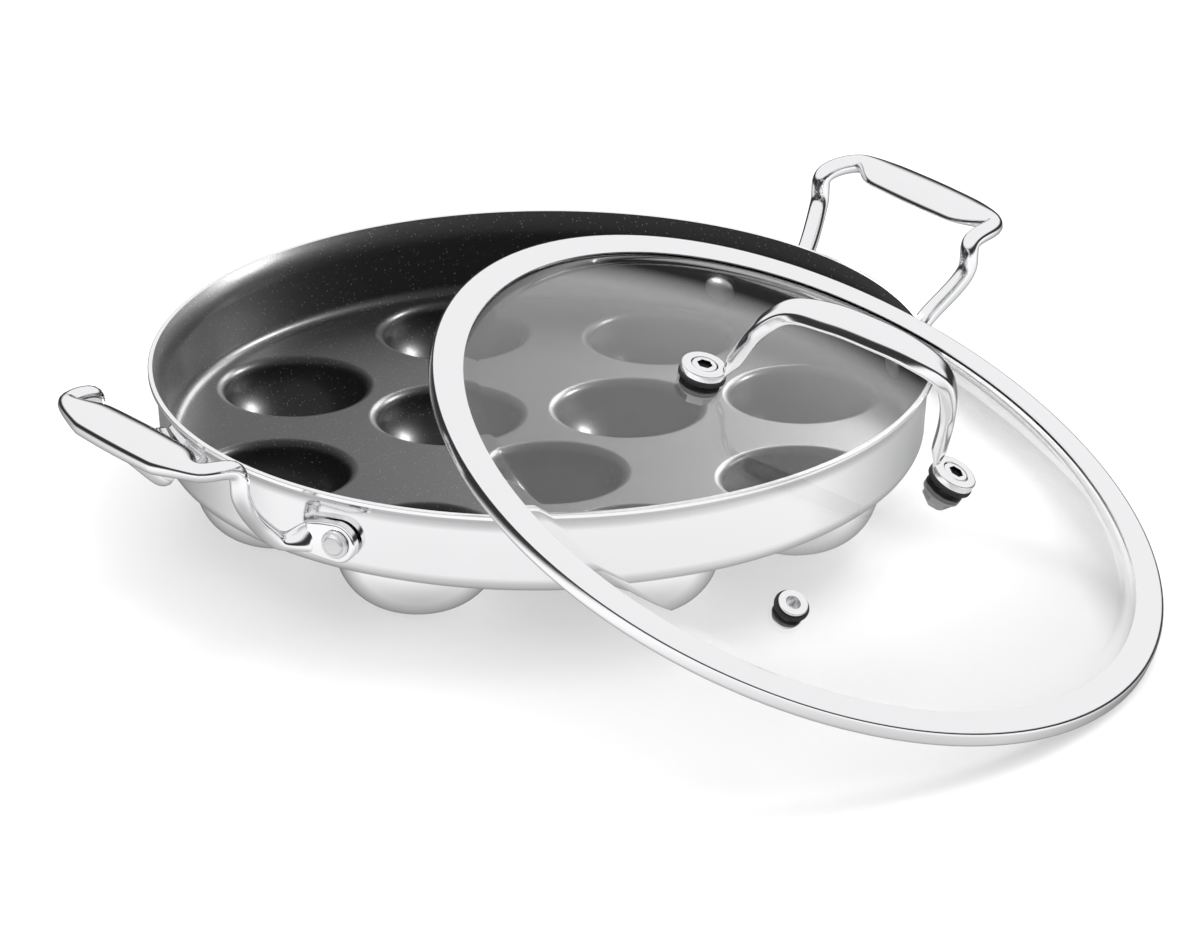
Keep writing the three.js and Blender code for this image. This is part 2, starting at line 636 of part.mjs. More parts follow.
// Least room between the pan's rim and the lid's underside, at a slope
function roomOverRim(slope) {
  const { normal } = lidAxes(slope);
  const centre = lidPlace(slope);
  const steps = 720;
  let least = Infinity;
  for (let i = 0; i < steps; i += 1) {
    const turn = i / steps * 2 * Math.PI;
    const point = new THREE.Vector3(rimRadius * Math.cos(turn), rimRadius * Math.sin(turn), PAN_HEIGHT).sub(centre);
    const height = point.dot(normal);
    const distance = Math.sqrt(point.lengthSq() - height ** 2);
    if (distance > lidRadius + LEAN_GAP) continue;
    const underside = distance > bandInner ? -bandHeight : domeAt(distance) - GLASS;
    least = Math.min(least, underside - height);
  }
  return least;
}

// The slope at which the lid rests both on the table and on the rim
function leaningSlope() {
  let [flat, steep] = [radians(5), radians(50)];
  for (let i = 0; i < 40; i += 1) {
    const middle = (flat + steep) / 2;
    if (roomOverRim(middle) > LEAN_GAP) steep = middle;
    else flat = middle;
  }
  return steep;
}

function lid() {
  const slope = leaningSlope();
  const { normal, downhill, across } = lidAxes(slope);
  const turn = radians(LID_HANDLE_TURN);
  const along = downhill.clone().multiplyScalar(Math.cos(turn)).addScaledVector(across, Math.sin(turn));
  const group = new THREE.Group();
  group.position.copy(lidPlace(slope));
  const axes = new THREE.Matrix4().makeBasis(along, normal.clone().cross(along), normal);
  group.quaternion.setFromRotationMatrix(axes);
  group.add(lidGlass(), lidBand(), lidHandle(), steamVent());
  for (const [place, seat] of Object.entries(lidFeet)) group.add(lidFixing(place, seat));
  return group;
}

const paniyaramPan = new THREE.Group();
paniyaramPan.add(pan(), lid());

export default paniyaramPan;
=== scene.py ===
import math

import bmesh
import bpy
from bpy.props import FloatProperty, FloatVectorProperty, IntProperty, PointerProperty
from mathutils import Matrix, Quaternion, Vector
from mathutils.geometry import delaunay_2d_cdt


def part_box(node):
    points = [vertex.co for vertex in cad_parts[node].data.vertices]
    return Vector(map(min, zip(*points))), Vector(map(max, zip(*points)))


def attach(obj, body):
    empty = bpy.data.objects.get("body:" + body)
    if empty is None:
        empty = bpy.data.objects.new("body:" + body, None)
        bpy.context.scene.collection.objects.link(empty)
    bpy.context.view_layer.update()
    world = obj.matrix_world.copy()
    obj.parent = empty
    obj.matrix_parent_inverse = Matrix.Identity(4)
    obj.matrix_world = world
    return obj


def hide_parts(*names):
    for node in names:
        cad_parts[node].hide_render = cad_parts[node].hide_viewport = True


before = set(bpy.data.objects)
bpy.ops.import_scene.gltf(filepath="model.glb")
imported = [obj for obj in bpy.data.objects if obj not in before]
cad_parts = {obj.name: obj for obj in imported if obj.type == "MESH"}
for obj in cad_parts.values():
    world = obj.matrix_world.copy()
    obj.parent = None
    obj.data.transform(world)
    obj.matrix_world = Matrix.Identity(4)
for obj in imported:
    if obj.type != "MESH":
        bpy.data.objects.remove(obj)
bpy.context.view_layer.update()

bl_info = {
    "name": "Paniyaram Pan",
    "version": (1, 0, 0),
    "blender": (4, 5, 0),
    "location": "View3D > Sidebar > Pan",
    "description": "Builds a cup pan with riveted handles and a glass lid over its CAD frame",
    "category": "Add Mesh",
}

PAN_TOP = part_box("pan_body")[1]

MM = 0.001
FIT_GAP = 0.3 * MM

# Points nearer than this become one, in a shape and in a flat outline
WELD = 2e-5
FLAT_WELD = 1e-7

# A triangle lies in a hole if its middle is nearer to the hole's than this share of the radius
IN_HOLE = 0.9999

# Turns and directions
FULL_TURN = 2 * math.pi
QUARTER_TURN = math.pi / 2
OUTWARDS = Vector((1, 0, 0))
DOWNWARDS = Vector((0, 0, -1))
UPWARDS = Vector((0, 0, 1))
SIDEWAYS = Vector((0, 1, 0))

# Facets of the smooth meshes
PAN_SEGMENTS = 192
CUP_SEGMENTS = 64
LID_SEGMENTS = 160
SMALL_SEGMENTS = 40
BAR_SIDES = 48
BAR_STATIONS = 132
CURVE_STEPS = 24
FILLET_STEPS = 6
WALL_FILLET_STEPS = 10
CUP_EDGE_STEPS = 8
RIVET_STEPS = 12
HEXAGON = 6

# Edges with a larger turn, in degrees, aren't smoothed
SHARP = 30
HANDLE_SHARP = 40
LID_HANDLE_SHARP = 60

# Material slots of the pan
STEEL = 0
COATING = 1

# Squareness of a grip's section above and below its middle, where 2 is round
GRIP_SQUARE = (2.4, 2.8)
LID_GRIP_SQUARE = (5.0, 5.0)

# Where a side handle's grip starts to narrow: shares of its half length and of its sizes
GRIP_STOP = (0.55, 0.95)

# A side handle's leg over its foot: shares of the foot's length and the rod
LEG_LOW = (1.15, 0.75)

# How a leg flattens into its foot's plate: a share of the plate's length, and two of its height
PLATE_SLIDE = 0.55
PLATE_HEIGHTS = (0.72, 0.6)

# A foot's half height at its near end and half-way, as shares of the round end's
FOOT_NECK = (0.8, 0.94)

# Stops on half of the lid's handle: shares of its half span and rise, and for the grip of its width
LID_GRIP_STOPS = ((0.37, 0.98, 0.95), (0.7, 0.885, 0.7), (0.83, 0.72, 0.5))
LID_LEG_STOPS = ((0.915, 0.46), (0.96, 0.2))

# Share of a foot's thickness that a bar's sunk end has
SUNK = 0.6

# Fillet of a folded sheet's edge, as a share of its thickness
FOLD = 0.45

# Patterns of the finishes, in cells to a metre
POLISH_SCALE = 60.0
SPECK_SCALE = 1000.0
GRAIN_SCALE = 1400.0
SMEAR_SCALE = 25.0
SILICONE_SCALE = 900.0
FLOOR_SCALE = 3.0

# Which of the coating's cells hold a speck, paler as their value rises, and where a speck fades out
SPECK_CHOICE = (0.5, 1.0)
SPECK_EDGE = (0.12, 0.3)

# Colour sockets of a mix node, and the first whole number of a compare node
MIX_FROM, MIX_TO, MIXED = 6, 7, 2
FIRST_WHOLE = 2

# Half the side of the floor, in metres
FLOOR_SIZE = 6.0

# The camera: lens, sensor and place in millimetres, turns in degrees, in the view's own frame
LENS = 270
SENSOR = 36
CAMERA_PLACE = (0, -2525.9, 1119.3)
CAMERA_TURNS = (0.40, 23.71, -0.39)
VIEW_TURN = math.radians(-37.5)
TO_VIEW = Matrix.Rotation(VIEW_TURN, 4, "Z")

# The studio's tones below, at the side, along the horizon and above, in front and behind
FRONT_TONES = (0.5, 1.0, 0.03, 0.87)
BACK_TONES = (0.15, 0.2, 0.03, 0.87)
STUDIO_STRENGTH = 1.15

# Where those tones lie, from straight down at 0 to straight up at 1
SIDE_BAND = (0.3, 0.37)
HORIZON_BAND = (0.41, 0.565)
SKY_START = 0.64

# How far towards the back the front's tones blend into the back's
BACK_REACH = (0.0, 0.85)

# Bright cards that only the pan mirrors: place in the view's frame, size, power, and whether pieces shade it
PAN_CARDS = {
    "low_card": ((1.75, 0.75, 0.62), (0.4, 0.4), 6, True),
    "high_card": ((1.6, 0.6, 1.2), (0.6, 0.6), 150, True),
    "floor_card": ((0.4, 0.9, 0.6), (0.6, 0.4), 24, True),
    "cup_card": ((1.27, 1.24, -0.32), (0.3, 0.3), 6, False),
    "side_card": ((1.75, 0.39, -0.2), (0.3, 0.3), 9, False),
}

# Mirrored lights are held to this, so that polished edges stay smooth
BRIGHTEST = 2.0


def length(label, about, millimetres):
    """A length property with its default in millimetres."""
    return FloatProperty(name=label, description=about, default=millimetres * MM, precision=5, unit="LENGTH")


def angle(label, about, degrees):
    """An angle property with its default in degrees."""
    return FloatProperty(name=label, description=about, default=math.radians(degrees), subtype="ANGLE")


def amount(label, about, value):
    """A factor property, from 0 up."""
    return FloatProperty(name=label, description=about, default=value, min=0.0, subtype="FACTOR")


def count(label, about, value):
    """A property for a number of copies."""
    return IntProperty(name=label, description=about, default=value, min=1)


def colour(label, about, value):
    """A colour property."""
    return FloatVectorProperty(
        name=label, description=about, default=value, min=0.0, max=1.0, subtype="COLOR"
    )


class PanSizes(bpy.types.PropertyGroup):
    rim_radius: length("Rim radius", "From the pan's axis to the lip's outer edge", PAN_TOP[0] / MM)
    height: length("Height", "From the standing plane to the rim", PAN_TOP[2] / MM)
    sheet: length("Sheet", "Thickness of the wall, floor and cups", 2.5)
    lip_flare: length("Lip flare", "How far the lip stands out from the wall", 2.4)
    lip_height: length("Lip height", "Height of the flared part", 4.0)
    lip_edge: length("Lip edge", "Width of the bright cut edge", 1.4)
    wall_draft: length("Wall draft", "How far the wall leans in at its foot", 1.3)
    floor_depth: length("Floor depth", "From the rim down to the floor", 24.6)
    floor_corner: length("Floor corner", "Radius between the floor and the wall", 3.5)


class CupSizes(bpy.types.PropertyGroup):
    mouth: length("Mouth radius", "Radius of a cup under its rounded edge", 21.8)
    edge: length("Edge radius", "Rounding between the floor and a cup", 2.8)
    bottom: length("Bottom radius", "Radius of the flat bottom inside", 2.5)
    foot: length("Foot radius", "Radius of the flat foot", 6.5)
    outer_count: count("Outer cups", "Cups in the outer ring", 8)
    outer_ring: length("Outer ring", "Radius of the outer ring of cups", 85.0)
    outer_turn: angle("Outer turn", "Where the outer ring starts", -18.5)
    inner_count: count("Inner cups", "Cups in the inner ring", 3)
    inner_ring: length("Inner ring", "Radius of the inner ring of cups", 32.0)
    inner_turn: angle("Inner turn", "Where the inner ring starts", -3.5)


class HandleSizes(bpy.types.PropertyGroup):
    reach: length("Reach", "From the rim to the grip's outer side", 36.5)
    rise: length("Rise", "From the rim up to the grip", 15.0)
    half_length: length("Half length", "From the grip's middle to its end", 33.0)
    width: length("Grip width", "Width of the grip", 16.0)
    thickness: length("Grip thickness", "Thickness of the grip", 7.0)
    wedge: amount("Wedge", "How much deeper the grip is on its outer side", 0.5)
    draft: amount("Draft", "How much narrower the grip is on top", 0.1)
    rod: length("Rod", "Diameter of the legs", 5.8)
    set_back: length("Leg set-back", "From the grip's middle in to the legs", 11.6)
    leg_spread: length("Leg spread", "From the grip's end out to a leg", 3.0)
    knee_drop: length("Knee drop", "From the grip down to where a leg turns to its foot", 11.0)
    clearance: length("Leg clearance", "From the wall to a leg above its foot", 8.7)
    spread: angle("Foot spread", "From the handle's middle to a foot's rivet", 22.0)
    drop: length("Foot drop", "From the rim down to the rivets", 15.0)
    foot_length: length("Foot length", "Length of a foot's plate", 17.0)
    foot_height: length("Foot height", "Height of a foot's plate", 12.5)
    foot_thickness: length("Foot thickness", "Thickness of a foot's plate", 2.8)


class RivetSizes(bpy.types.PropertyGroup):
    shank: length("Shank radius", "Radius of the shank", 2.5)
    head: length("Head radius", "Radius of the domed head inside the pan", 5.25)
    head_height: length("Head height", "Height of the head", 2.2)
    collar: length("Collar radius", "Radius of the collar outside", 4.4)
    collar_height: length("Collar height", "Height of the collar", 0.9)
    tail: length("Tail radius", "Radius of the tail outside", 3.2)
    tail_height: length("Tail height", "Height of the tail over the foot", 1.7)


class LidSizes(bpy.types.PropertyGroup):
    glass: length("Glass", "Thickness of the glass", 4.0)
    rise: length("Dome rise", "From the band's top to the top of the dome", 20.5)
    sheet: length("Band sheet", "Thickness of the band", 0.7)
    width: length("Band width", "Width of the band's top face", 9.4)
    set_back: length("Set back", "How much narrower the band is underneath", 1.5)
    gap: length("Gap", "Fit between pieces that touch", 0.3)
    span: length("Handle span", "Between the handle's two screws", 79.0)
    handle_rise: length("Handle rise", "From the feet to the grip", 33.0)
    grip_width: length("Grip width", "Width of the lid's grip", 13.0)
    grip_thickness: length("Grip thickness", "Thickness of the lid's grip", 5.0)
    draft: amount("Draft", "How much narrower the grip is on top", 0.14)
    leg: length("Leg", "Diameter of the handle's legs", 4.8)
    set_in: length("Set in", "From a screw to the leg beside it", 5.5)
    vent_ring: length("Vent ring", "From the lid's axis to the steam vent", 83.0)
    vent_turn: angle("Vent turn", "From square across the handle to the vent", 4.0)


class FixingSizes(bpy.types.PropertyGroup):
    foot: length("Foot radius", "Radius of the handle's round feet", 6.9)
    foot_thickness: length("Foot thickness", "Thickness of the round feet", 2.6)
    gasket: length("Gasket radius", "Radius of the gaskets under the feet", 7.2)
    gasket_thickness: length("Gasket thickness", "Thickness of the gaskets", 1.2)
    screw: length("Screw radius", "Radius of the screw's shank", 2.2)
    head: length("Head radius", "Radius of the screw's head", 3.8)
    head_height: length("Head height", "Height of the screw's head", 1.4)
    socket: length("Socket radius", "Radius of the hexagon socket", 2.4)
    socket_depth: length("Socket depth", "Depth of the hexagon socket", 0.8)
    washer: length("Washer", "Thickness of the washers", 0.8)
    nut: length("Nut radius", "Radius of the cap nuts over their corners", 4.8)
    nut_height: length("Nut height", "Height of the cap nuts", 3.8)
    nut_floor: length("Nut floor", "Closed end of the cap nuts", 1.0)
    vent_bore: length("Vent bore", "Radius of the steam vent's hole", 2.1)
    vent_wall: length("Vent wall", "Thickness of the eyelet's tube", 0.8)
    vent_flange: length("Vent flange", "Radius of the eyelet's flange", 4.5)
    flange_thickness: length("Flange thickness", "Thickness of the eyelet's flange", 1.0)
    vent_gasket: length("Vent gasket radius", "Radius of the vent's gaskets", 5.3)
    vent_gasket_thickness: length("Vent gasket thickness", "Thickness of the vent's gaskets", 1.2)


class Finishes(bpy.types.PropertyGroup):
    steel: colour("Steel", "Polished steel of the pan, handles and lid", (0.93, 0.93, 0.935))
    steel_roughness: amount("Steel roughness", "Roughness of the polished steel", 0.05)
    rivet: colour("Rivet steel", "Steel of the rivets", (0.88, 0.88, 0.88))
    rivet_roughness: amount("Rivet roughness", "Roughness of the rivets", 0.45)
    # Painted shade: the screws' sockets are coloured near black to stand in for the shade inside the recess
    dark_steel: colour("Dark steel", "Dark steel of the screws' sockets", (0.02, 0.02, 0.02))
    # Painted shade: nuts and washers are steel coloured darker to stand in for the shade under the glass and
    # gaskets
    nut_steel: colour("Nut steel", "Shaded steel of nuts and washers", (0.3, 0.3, 0.3))
    coating: colour("Coating", "Non-stick coating", (0.016, 0.016, 0.0165))
    speck: colour("Specks", "Pale specks in the coating", (0.16, 0.16, 0.16))
    coating_roughness: amount("Coating roughness", "Roughness of the coating", 0.42)
    gloss_roughness: amount("Gloss roughness", "Roughness of the coating's glossy top", 0.2)
    glass: colour("Glass", "Tint of the lid's glass", (0.965, 0.965, 0.965))
    silicone: colour("Silicone", "Gaskets", (0.012, 0.012, 0.012))
    floor: colour("Floor", "Table under the pan", (0.86, 0.86, 0.86))


# Outlines and meshes


def rounded(corners, closed=False, steps=FILLET_STEPS):
    """An outline through (radius, height, fillet) corners, each rounded to its fillet."""
    places = [Vector((radius, height)) for radius, height, _ in corners]
    outline = []
    last = len(corners) - 1
    for i, place in enumerate(places):
        fillet = corners[i][2]
        if fillet == 0 or (not closed and i in (0, last)):
            outline.append(place)
            continue
        back = (places[i - 1] - place).normalized()
        ahead = (places[(i + 1) % len(places)] - place).normalized()
        half = back.angle(ahead) / 2
        centre = place + (back + ahead).normalized() * fillet / math.sin(half)
        start = place + back * fillet / math.tan(half) - centre
        end = place + ahead * fillet / math.tan(half) - centre
        outline += [centre + start.slerp(end, k / steps) * fillet for k in range(steps + 1)]
    return outline


def ellipse(centre, radii, start, end, steps=CURVE_STEPS):
    """Points on an ellipse's arc in an outline."""
    turns = [start + (end - start) * k / steps for k in range(steps + 1)]
    return [Vector((centre[0] + radii[0] * math.cos(t), centre[1] + radii[1] * math.sin(t))) for t in turns]


def add_lathe(shape, outline, segments, closed=False, material=STEEL, turn=None):
    """Adds an outline revolved about Z to a shape."""
    turn = turn or Matrix()
    rows = []
    for k in range(segments):
        azimuth = FULL_TURN * k / segments
        way = Vector((math.cos(azimuth), math.sin(azimuth), 0))
        rows.append([shape.verts.new(turn @ (way * p[0] + UPWARDS * p[1])) for p in outline])
    spans = len(outline) if closed else len(outline) - 1
    for k in range(segments):
        row, following = rows[k], rows[(k + 1) % segments]
        for i in range(spans):
            j = (i + 1) % len(outline)
            face = shape.faces.new((row[i], following[i], following[j], row[j]))
            face.material_index = material


def add_loft(shape, rings):
    """Adds a closed skin through a row of equal rings of points."""
    rows = [[shape.verts.new(p) for p in ring] for ring in rings]
    for row, following in zip(rows, rows[1:]):
        for i in range(len(row)):
            j = (i + 1) % len(row)
            shape.faces.new((row[i], row[j], following[j], following[i]))
    shape.faces.new(rows[0])
    shape.faces.new(reversed(rows[-1]))


def smoothed(mesh, sharp=SHARP):
    """A mesh shaded smooth between its sharp edges."""
    mesh.shade_smooth()
    mesh.set_sharp_from_angle(angle=math.radians(sharp))
    return mesh


def to_mesh(name, shape, materials, sharp=SHARP):
    """Welds a shape, points its faces outwards and turns it into a smooth mesh."""
    bmesh.ops.remove_doubles(shape, verts=shape.verts, dist=WELD)
    bmesh.ops.recalc_face_normals(shape, faces=shape.faces)
    mesh = bpy.data.meshes.new(name)
    shape.to_mesh(mesh)
    shape.free()
    for material in materials:
        mesh.materials.append(material)
    return smoothed(mesh, sharp)


def lathe_mesh(name, corners, material, turn, closed=True, segments=SMALL_SEGMENTS):
    """A mesh of rounded corners revolved about Z."""
    shape = bmesh.new()
    add_lathe(shape, rounded(corners, closed), segments, closed, STEEL, turn)
    return to_mesh(name, shape, [material])


def washer_mesh(name, hole, outer, bottom, top, material, turn):
    """A flat ring with a soft outer edge."""
    soft = (top - bottom) / 4
    corners = [(hole, bottom, 0), (outer, bottom, soft), (outer, top, soft), (hole, top, 0)]
    return lathe_mesh(name, corners, material, turn)


def plug_mesh(radius, bottom, top, material, turn, segments=SMALL_SEGMENTS):
    """A plain cylinder or prism that cuts a hole."""
    corners = [(0, bottom, 0), (radius, bottom, 0), (radius, top, 0), (0, top, 0)]
    return lathe_mesh("Plug", corners, material, turn, False, segments)


def baked(holder):
    """A plain mesh of what an object's modifiers make. The object is removed."""
    graph = bpy.context.evaluated_depsgraph_get()
    mesh = bpy.data.meshes.new_from_object(holder.evaluated_get(graph), depsgraph=graph)
    bpy.data.objects.remove(holder)
    return mesh


def holder_for(mesh):
    """An object in the scene for a mesh that modifiers work on."""
    holder = bpy.data.objects.new(mesh.name, mesh)
    bpy.context.scene.collection.objects.link(holder)
    return holder


def cut(mesh, *cutters):
    """A mesh with the cutters' shapes taken out of it."""
    holder = holder_for(mesh)
    tools = [holder_for(cutter) for cutter in cutters]
    for tool in tools:
        modifier = holder.modifiers.new("Cut", "BOOLEAN")
        modifier.operation = "DIFFERENCE"
        modifier.solver = "EXACT"
        modifier.material_mode = "TRANSFER"
        modifier.object = tool
    result = baked(holder)
    for tool in tools:
        bpy.data.objects.remove(tool)
    return smoothed(result)


# Node trees


def set_sockets(tree, node, sockets):
    """Gives a node's sockets their values, or links them to other nodes."""
    for name, value in sockets.items():
        if isinstance(value, bpy.types.NodeSocket):
            tree.links.new(value, node.inputs[name])
        else:
            node.inputs[name].default_value = value


def add_node(tree, kind, sockets=None, **settings):
    """Adds a node with its settings and sockets to a tree."""
    node = tree.nodes.new(kind)
    for name, value in settings.items():
        setattr(node, name, value)
    set_sockets(tree, node, sockets or {})
    return node


def copies_tree():
    """Geometry nodes that set copies of a mesh round the Z axis, each turned to face outwards."""
    name = "Copies round an axis"
    if name in bpy.data.node_groups:
        return bpy.data.node_groups[name]
    tree = bpy.data.node_groups.new(name, "GeometryNodeTree")
    inputs = {
        "Geometry": "Geometry",
        "Copies": "Int",
        "Ring radius": "Float",
        "Start": "Float",
        "Step": "Float",
        "Swing": "Float",
        "Material": "Material",
    }
    for label, kind in inputs.items():
        tree.interface.new_socket(label, in_out="INPUT", socket_type="NodeSocket" + kind)
    tree.interface.new_socket("Geometry", in_out="OUTPUT", socket_type="NodeSocketGeometry")
    given = add_node(tree, "NodeGroupInput").outputs
    index = add_node(tree, "GeometryNodeInputIndex").outputs[0]

    def maths(operation, *values):
        return add_node(tree, "ShaderNodeMath", dict(enumerate(values)), operation=operation).outputs[0]

    stepped = maths("MULTIPLY_ADD", index, given["Step"], given["Start"])
    sign = maths("COSINE", maths("MULTIPLY", index, math.pi))
    azimuth = maths("MULTIPLY_ADD", sign, given["Swing"], stepped)
    place = add_node(tree, "ShaderNodeCombineXYZ", {
        "X": maths("MULTIPLY", given["Ring radius"], maths("COSINE", azimuth)),
        "Y": maths("MULTIPLY", given["Ring radius"], maths("SINE", azimuth)),
    })
    turn = add_node(tree, "ShaderNodeCombineXYZ", {"Z": azimuth})
    points = add_node(tree, "GeometryNodePoints", {"Count": given["Copies"], "Position": place.outputs[0]})
    spread = add_node(tree, "GeometryNodeInstanceOnPoints", {
        "Points": points.outputs[0],
        "Instance": given["Geometry"],
        "Rotation": turn.outputs[0],
    })
    solid = add_node(tree, "GeometryNodeRealizeInstances", {0: spread.outputs[0]})
    slot = add_node(tree, "GeometryNodeInputMaterialIndex").outputs[0]
    is_first = {"data_type": "INT", "operation": "EQUAL"}
    main_faces = add_node(tree, "FunctionNodeCompare", {FIRST_WHOLE: slot}, **is_first)
    finish = add_node(tree, "GeometryNodeSetMaterial", {
        "Geometry": solid.outputs[0],
        "Selection": main_faces.outputs[0],
        "Material": given["Material"],
    })
    add_node(tree, "NodeGroupOutput", {0: finish.outputs[0]})
    return tree


def copies(mesh, number, ring, start, step, swing=0.0):
    """A plain mesh of copies of a mesh round the Z axis."""
    holder = holder_for(mesh)
    modifier = holder.modifiers.new("Copies", "NODES")
    tree = copies_tree()
    modifier.node_group = tree
    values = {
        "Copies": number,
        "Ring radius": ring,
        "Start": start,
        "Step": step,
        "Swing": swing,
        "Material": mesh.materials[0],
    }
    for socket in tree.interface.items_tree:
        if socket.in_out == "INPUT" and socket.name in values:
            modifier[socket.identifier] = values[socket.name]
    return baked(holder)


# Finished pieces


def add_piece(name, mesh, body, nodes, turn=None):
    """Puts a finished mesh in the scene, in place of the CAD nodes it stands for."""
    if turn:
        mesh.transform(turn)
    mesh.name = name
    piece = bpy.data.objects.new(name, mesh)
    bpy.context.scene.collection.objects.link(piece)
    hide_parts(*nodes)
    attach(piece, body)
    return piece


# Bars with a changing section


class Stop:
    """A place on a bar's route, with the section there."""

    def __init__(self, at, width, thickness, top=2.0, base=2.0, wedge=0.0, draft=0.0):
        self.at = Vector(at)
        self.section = (width / 2, thickness / 2, top, base, wedge, draft)


def span_at(stops, along):
    """The stop before a share of the route, and the share of the way from it to the next."""
    span = along * (len(stops) - 1)
    low = min(int(span), len(stops) - 2)
    return low, span - low


def between(start, end, leave, arrive, mix):
    """A value on the cubic between two, which leaves and arrives at given rates."""
    square = 3 * (end - start) - 2 * leave - arrive
    cube = 2 * (start - end) + leave + arrive
    return start + leave * mix + square * mix**2 + cube * mix**3


def on_route(stops, along):
    """A point of the smooth curve through the stops, along from 0 to 1."""
    places = [stop.at for stop in stops]
    places = [2 * places[0] - places[1], *places, 2 * places[-1] - places[-2]]
    low, mix = span_at(stops, along)
    a, b, c, d = places[low : low + 4]
    before, here, after = (math.sqrt((q - p).length) for p, q in ((a, b), (b, c), (c, d)))
    leave = ((b - a) / before - (c - a) / (before + here) + (c - b) / here) * here
    arrive = ((c - b) / here - (d - b) / (here + after) + (d - c) / after) * here
    return between(b, c, leave, arrive, mix)


def section(centre, wide, high, half_width, half_height, top, base, wedge, draft):
    """One ring of a bar.

    The higher top and base are, the squarer it is. The wedge makes it deeper outside.
    The draft makes it narrower on top.
    """
    ring = []
    for i in range(BAR_SIDES):
        turn = FULL_TURN * (i + 0.5) / BAR_SIDES
        x, y = math.cos(turn), math.sin(turn)
        power = 2 / (top if y > 0 else base)
        x = math.copysign(abs(x) ** power, x)
        y = math.copysign(abs(y) ** power, y)
        x *= 1 - draft * y
        if y < 0:
            y *= 1 + wedge * x
        ring.append(centre + wide * half_width * x + high * half_height * y)
    return ring


def square_to(wide, ahead):
    """A direction made square to another."""
    return (wide - ahead * wide.dot(ahead)).normalized()


def slope(before, here, after):
    """How fast a size changes at a stop, without going past its neighbours."""
    rise, fall = here - before, after - here
    if rise * fall <= 0:
        return 0.0
    return 2 * rise * fall / (rise + fall)


def section_sizes(stops, along):
    """The section's sizes at a share of the route, smooth through the stops."""
    sizes = [stop.section for stop in stops]
    sizes = [sizes[0], *sizes, sizes[-1]]
    low, mix = span_at(stops, along)
    return [between(b, c, slope(a, b, c), slope(b, c, d), mix) for a, b, c, d in zip(*sizes[low : low + 4])]


def smooth(share):
    """A share from 0 to 1 that starts and ends gently."""
    share = min(max(share, 0.0), 1.0)
    return share * share * (3 - 2 * share)


def bar_widths(aheads, across, end_across):
    """The way a bar's width lies: across at its middle, carried along the route and twisted to its ends."""
    last = len(aheads) - 1
    middle = last // 2
    widths = {}
    for end, step in ((last, 1), (0, -1)):
        stations = range(middle, end + step, step)
        wide = across
        for s in stations:
            wide = square_to(wide, aheads[s])
            widths[s] = wide
        wanted = square_to(end_across, aheads[end])
        twist = math.atan2(aheads[end].dot(wide.cross(wanted)), wide.dot(wanted))
        twist = (twist + QUARTER_TURN) % math.pi - QUARTER_TURN
        for s in stations:
            share = smooth(2 * abs(s - middle) / middle - 1)
            widths[s] = Quaternion(aheads[s], twist * share) @ widths[s]
    return widths


def add_bar(shape, stops, across, end_across):
    """Adds a bar whose section grows, flattens and turns along a smooth route."""
    stations = range(BAR_STATIONS + 1)
    places = [on_route(stops, s / BAR_STATIONS) for s in stations]
    aheads = [(places[min(s + 1, BAR_STATIONS)] - places[max(s - 1, 0)]).normalized() for s in stations]
    widths = bar_widths(aheads, across, end_across)
    rings = []
    for s, place in enumerate(places):
        sizes = section_sizes(stops, s / BAR_STATIONS)
        rings.append(section(place, widths[s], widths[s].cross(aheads[s]), *sizes))
    add_loft(shape, rings)


# Materials


def new_material(name):
    """A material, its node tree, its shader and the object's coordinates."""
    material = bpy.data.materials.new(name)
    material.use_nodes = True
    tree = material.node_tree
    place = add_node(tree, "ShaderNodeTexCoord").outputs["Object"]
    return material, tree, tree.nodes["Principled BSDF"], place


def opaque(tint):
    """A colour with its alpha."""
    return (*tint, 1)


def noise(tree, place, scale):
    """A noise texture."""
    sockets = {"Vector": place, "Scale": scale, "Detail": 3.0}
    return add_node(tree, "ShaderNodeTexNoise", sockets).outputs["Fac"]


def spread_to(tree, value, low, high, reach=(0.3, 0.7)):
    """A value's reach taken to between two ends."""
    ends = {"From Min": reach[0], "From Max": reach[1], "To Min": low, "To Max": high}
    return add_node(tree, "ShaderNodeMapRange", {"Value": value, **ends}).outputs["Result"]


def blend_colours(tree, value, low, high):
    """A colour between two, by a value."""
    sockets = {"Factor": value, MIX_FROM: low, MIX_TO: high}
    return add_node(tree, "ShaderNodeMix", sockets, data_type="RGBA").outputs[MIXED]


def steel_material(name, tint, roughness):
    """Polished steel with faint uneven polish."""
    if name in bpy.data.materials:
        return bpy.data.materials[name]
    material, tree, shader, place = new_material(name)
    polish = noise(tree, place, POLISH_SCALE)
    darker = [part * 0.95 for part in tint]
    set_sockets(tree, shader, {
        "Metallic": 1.0,
        "Base Color": blend_colours(tree, polish, opaque(darker), opaque(tint)),
        "Roughness": spread_to(tree, polish, roughness * 0.7, roughness * 1.3),
    })
    return material


def polished_steel(finishes):
    """The polished steel that most pieces share."""
    return steel_material("polished_steel", finishes.steel, finishes.steel_roughness)


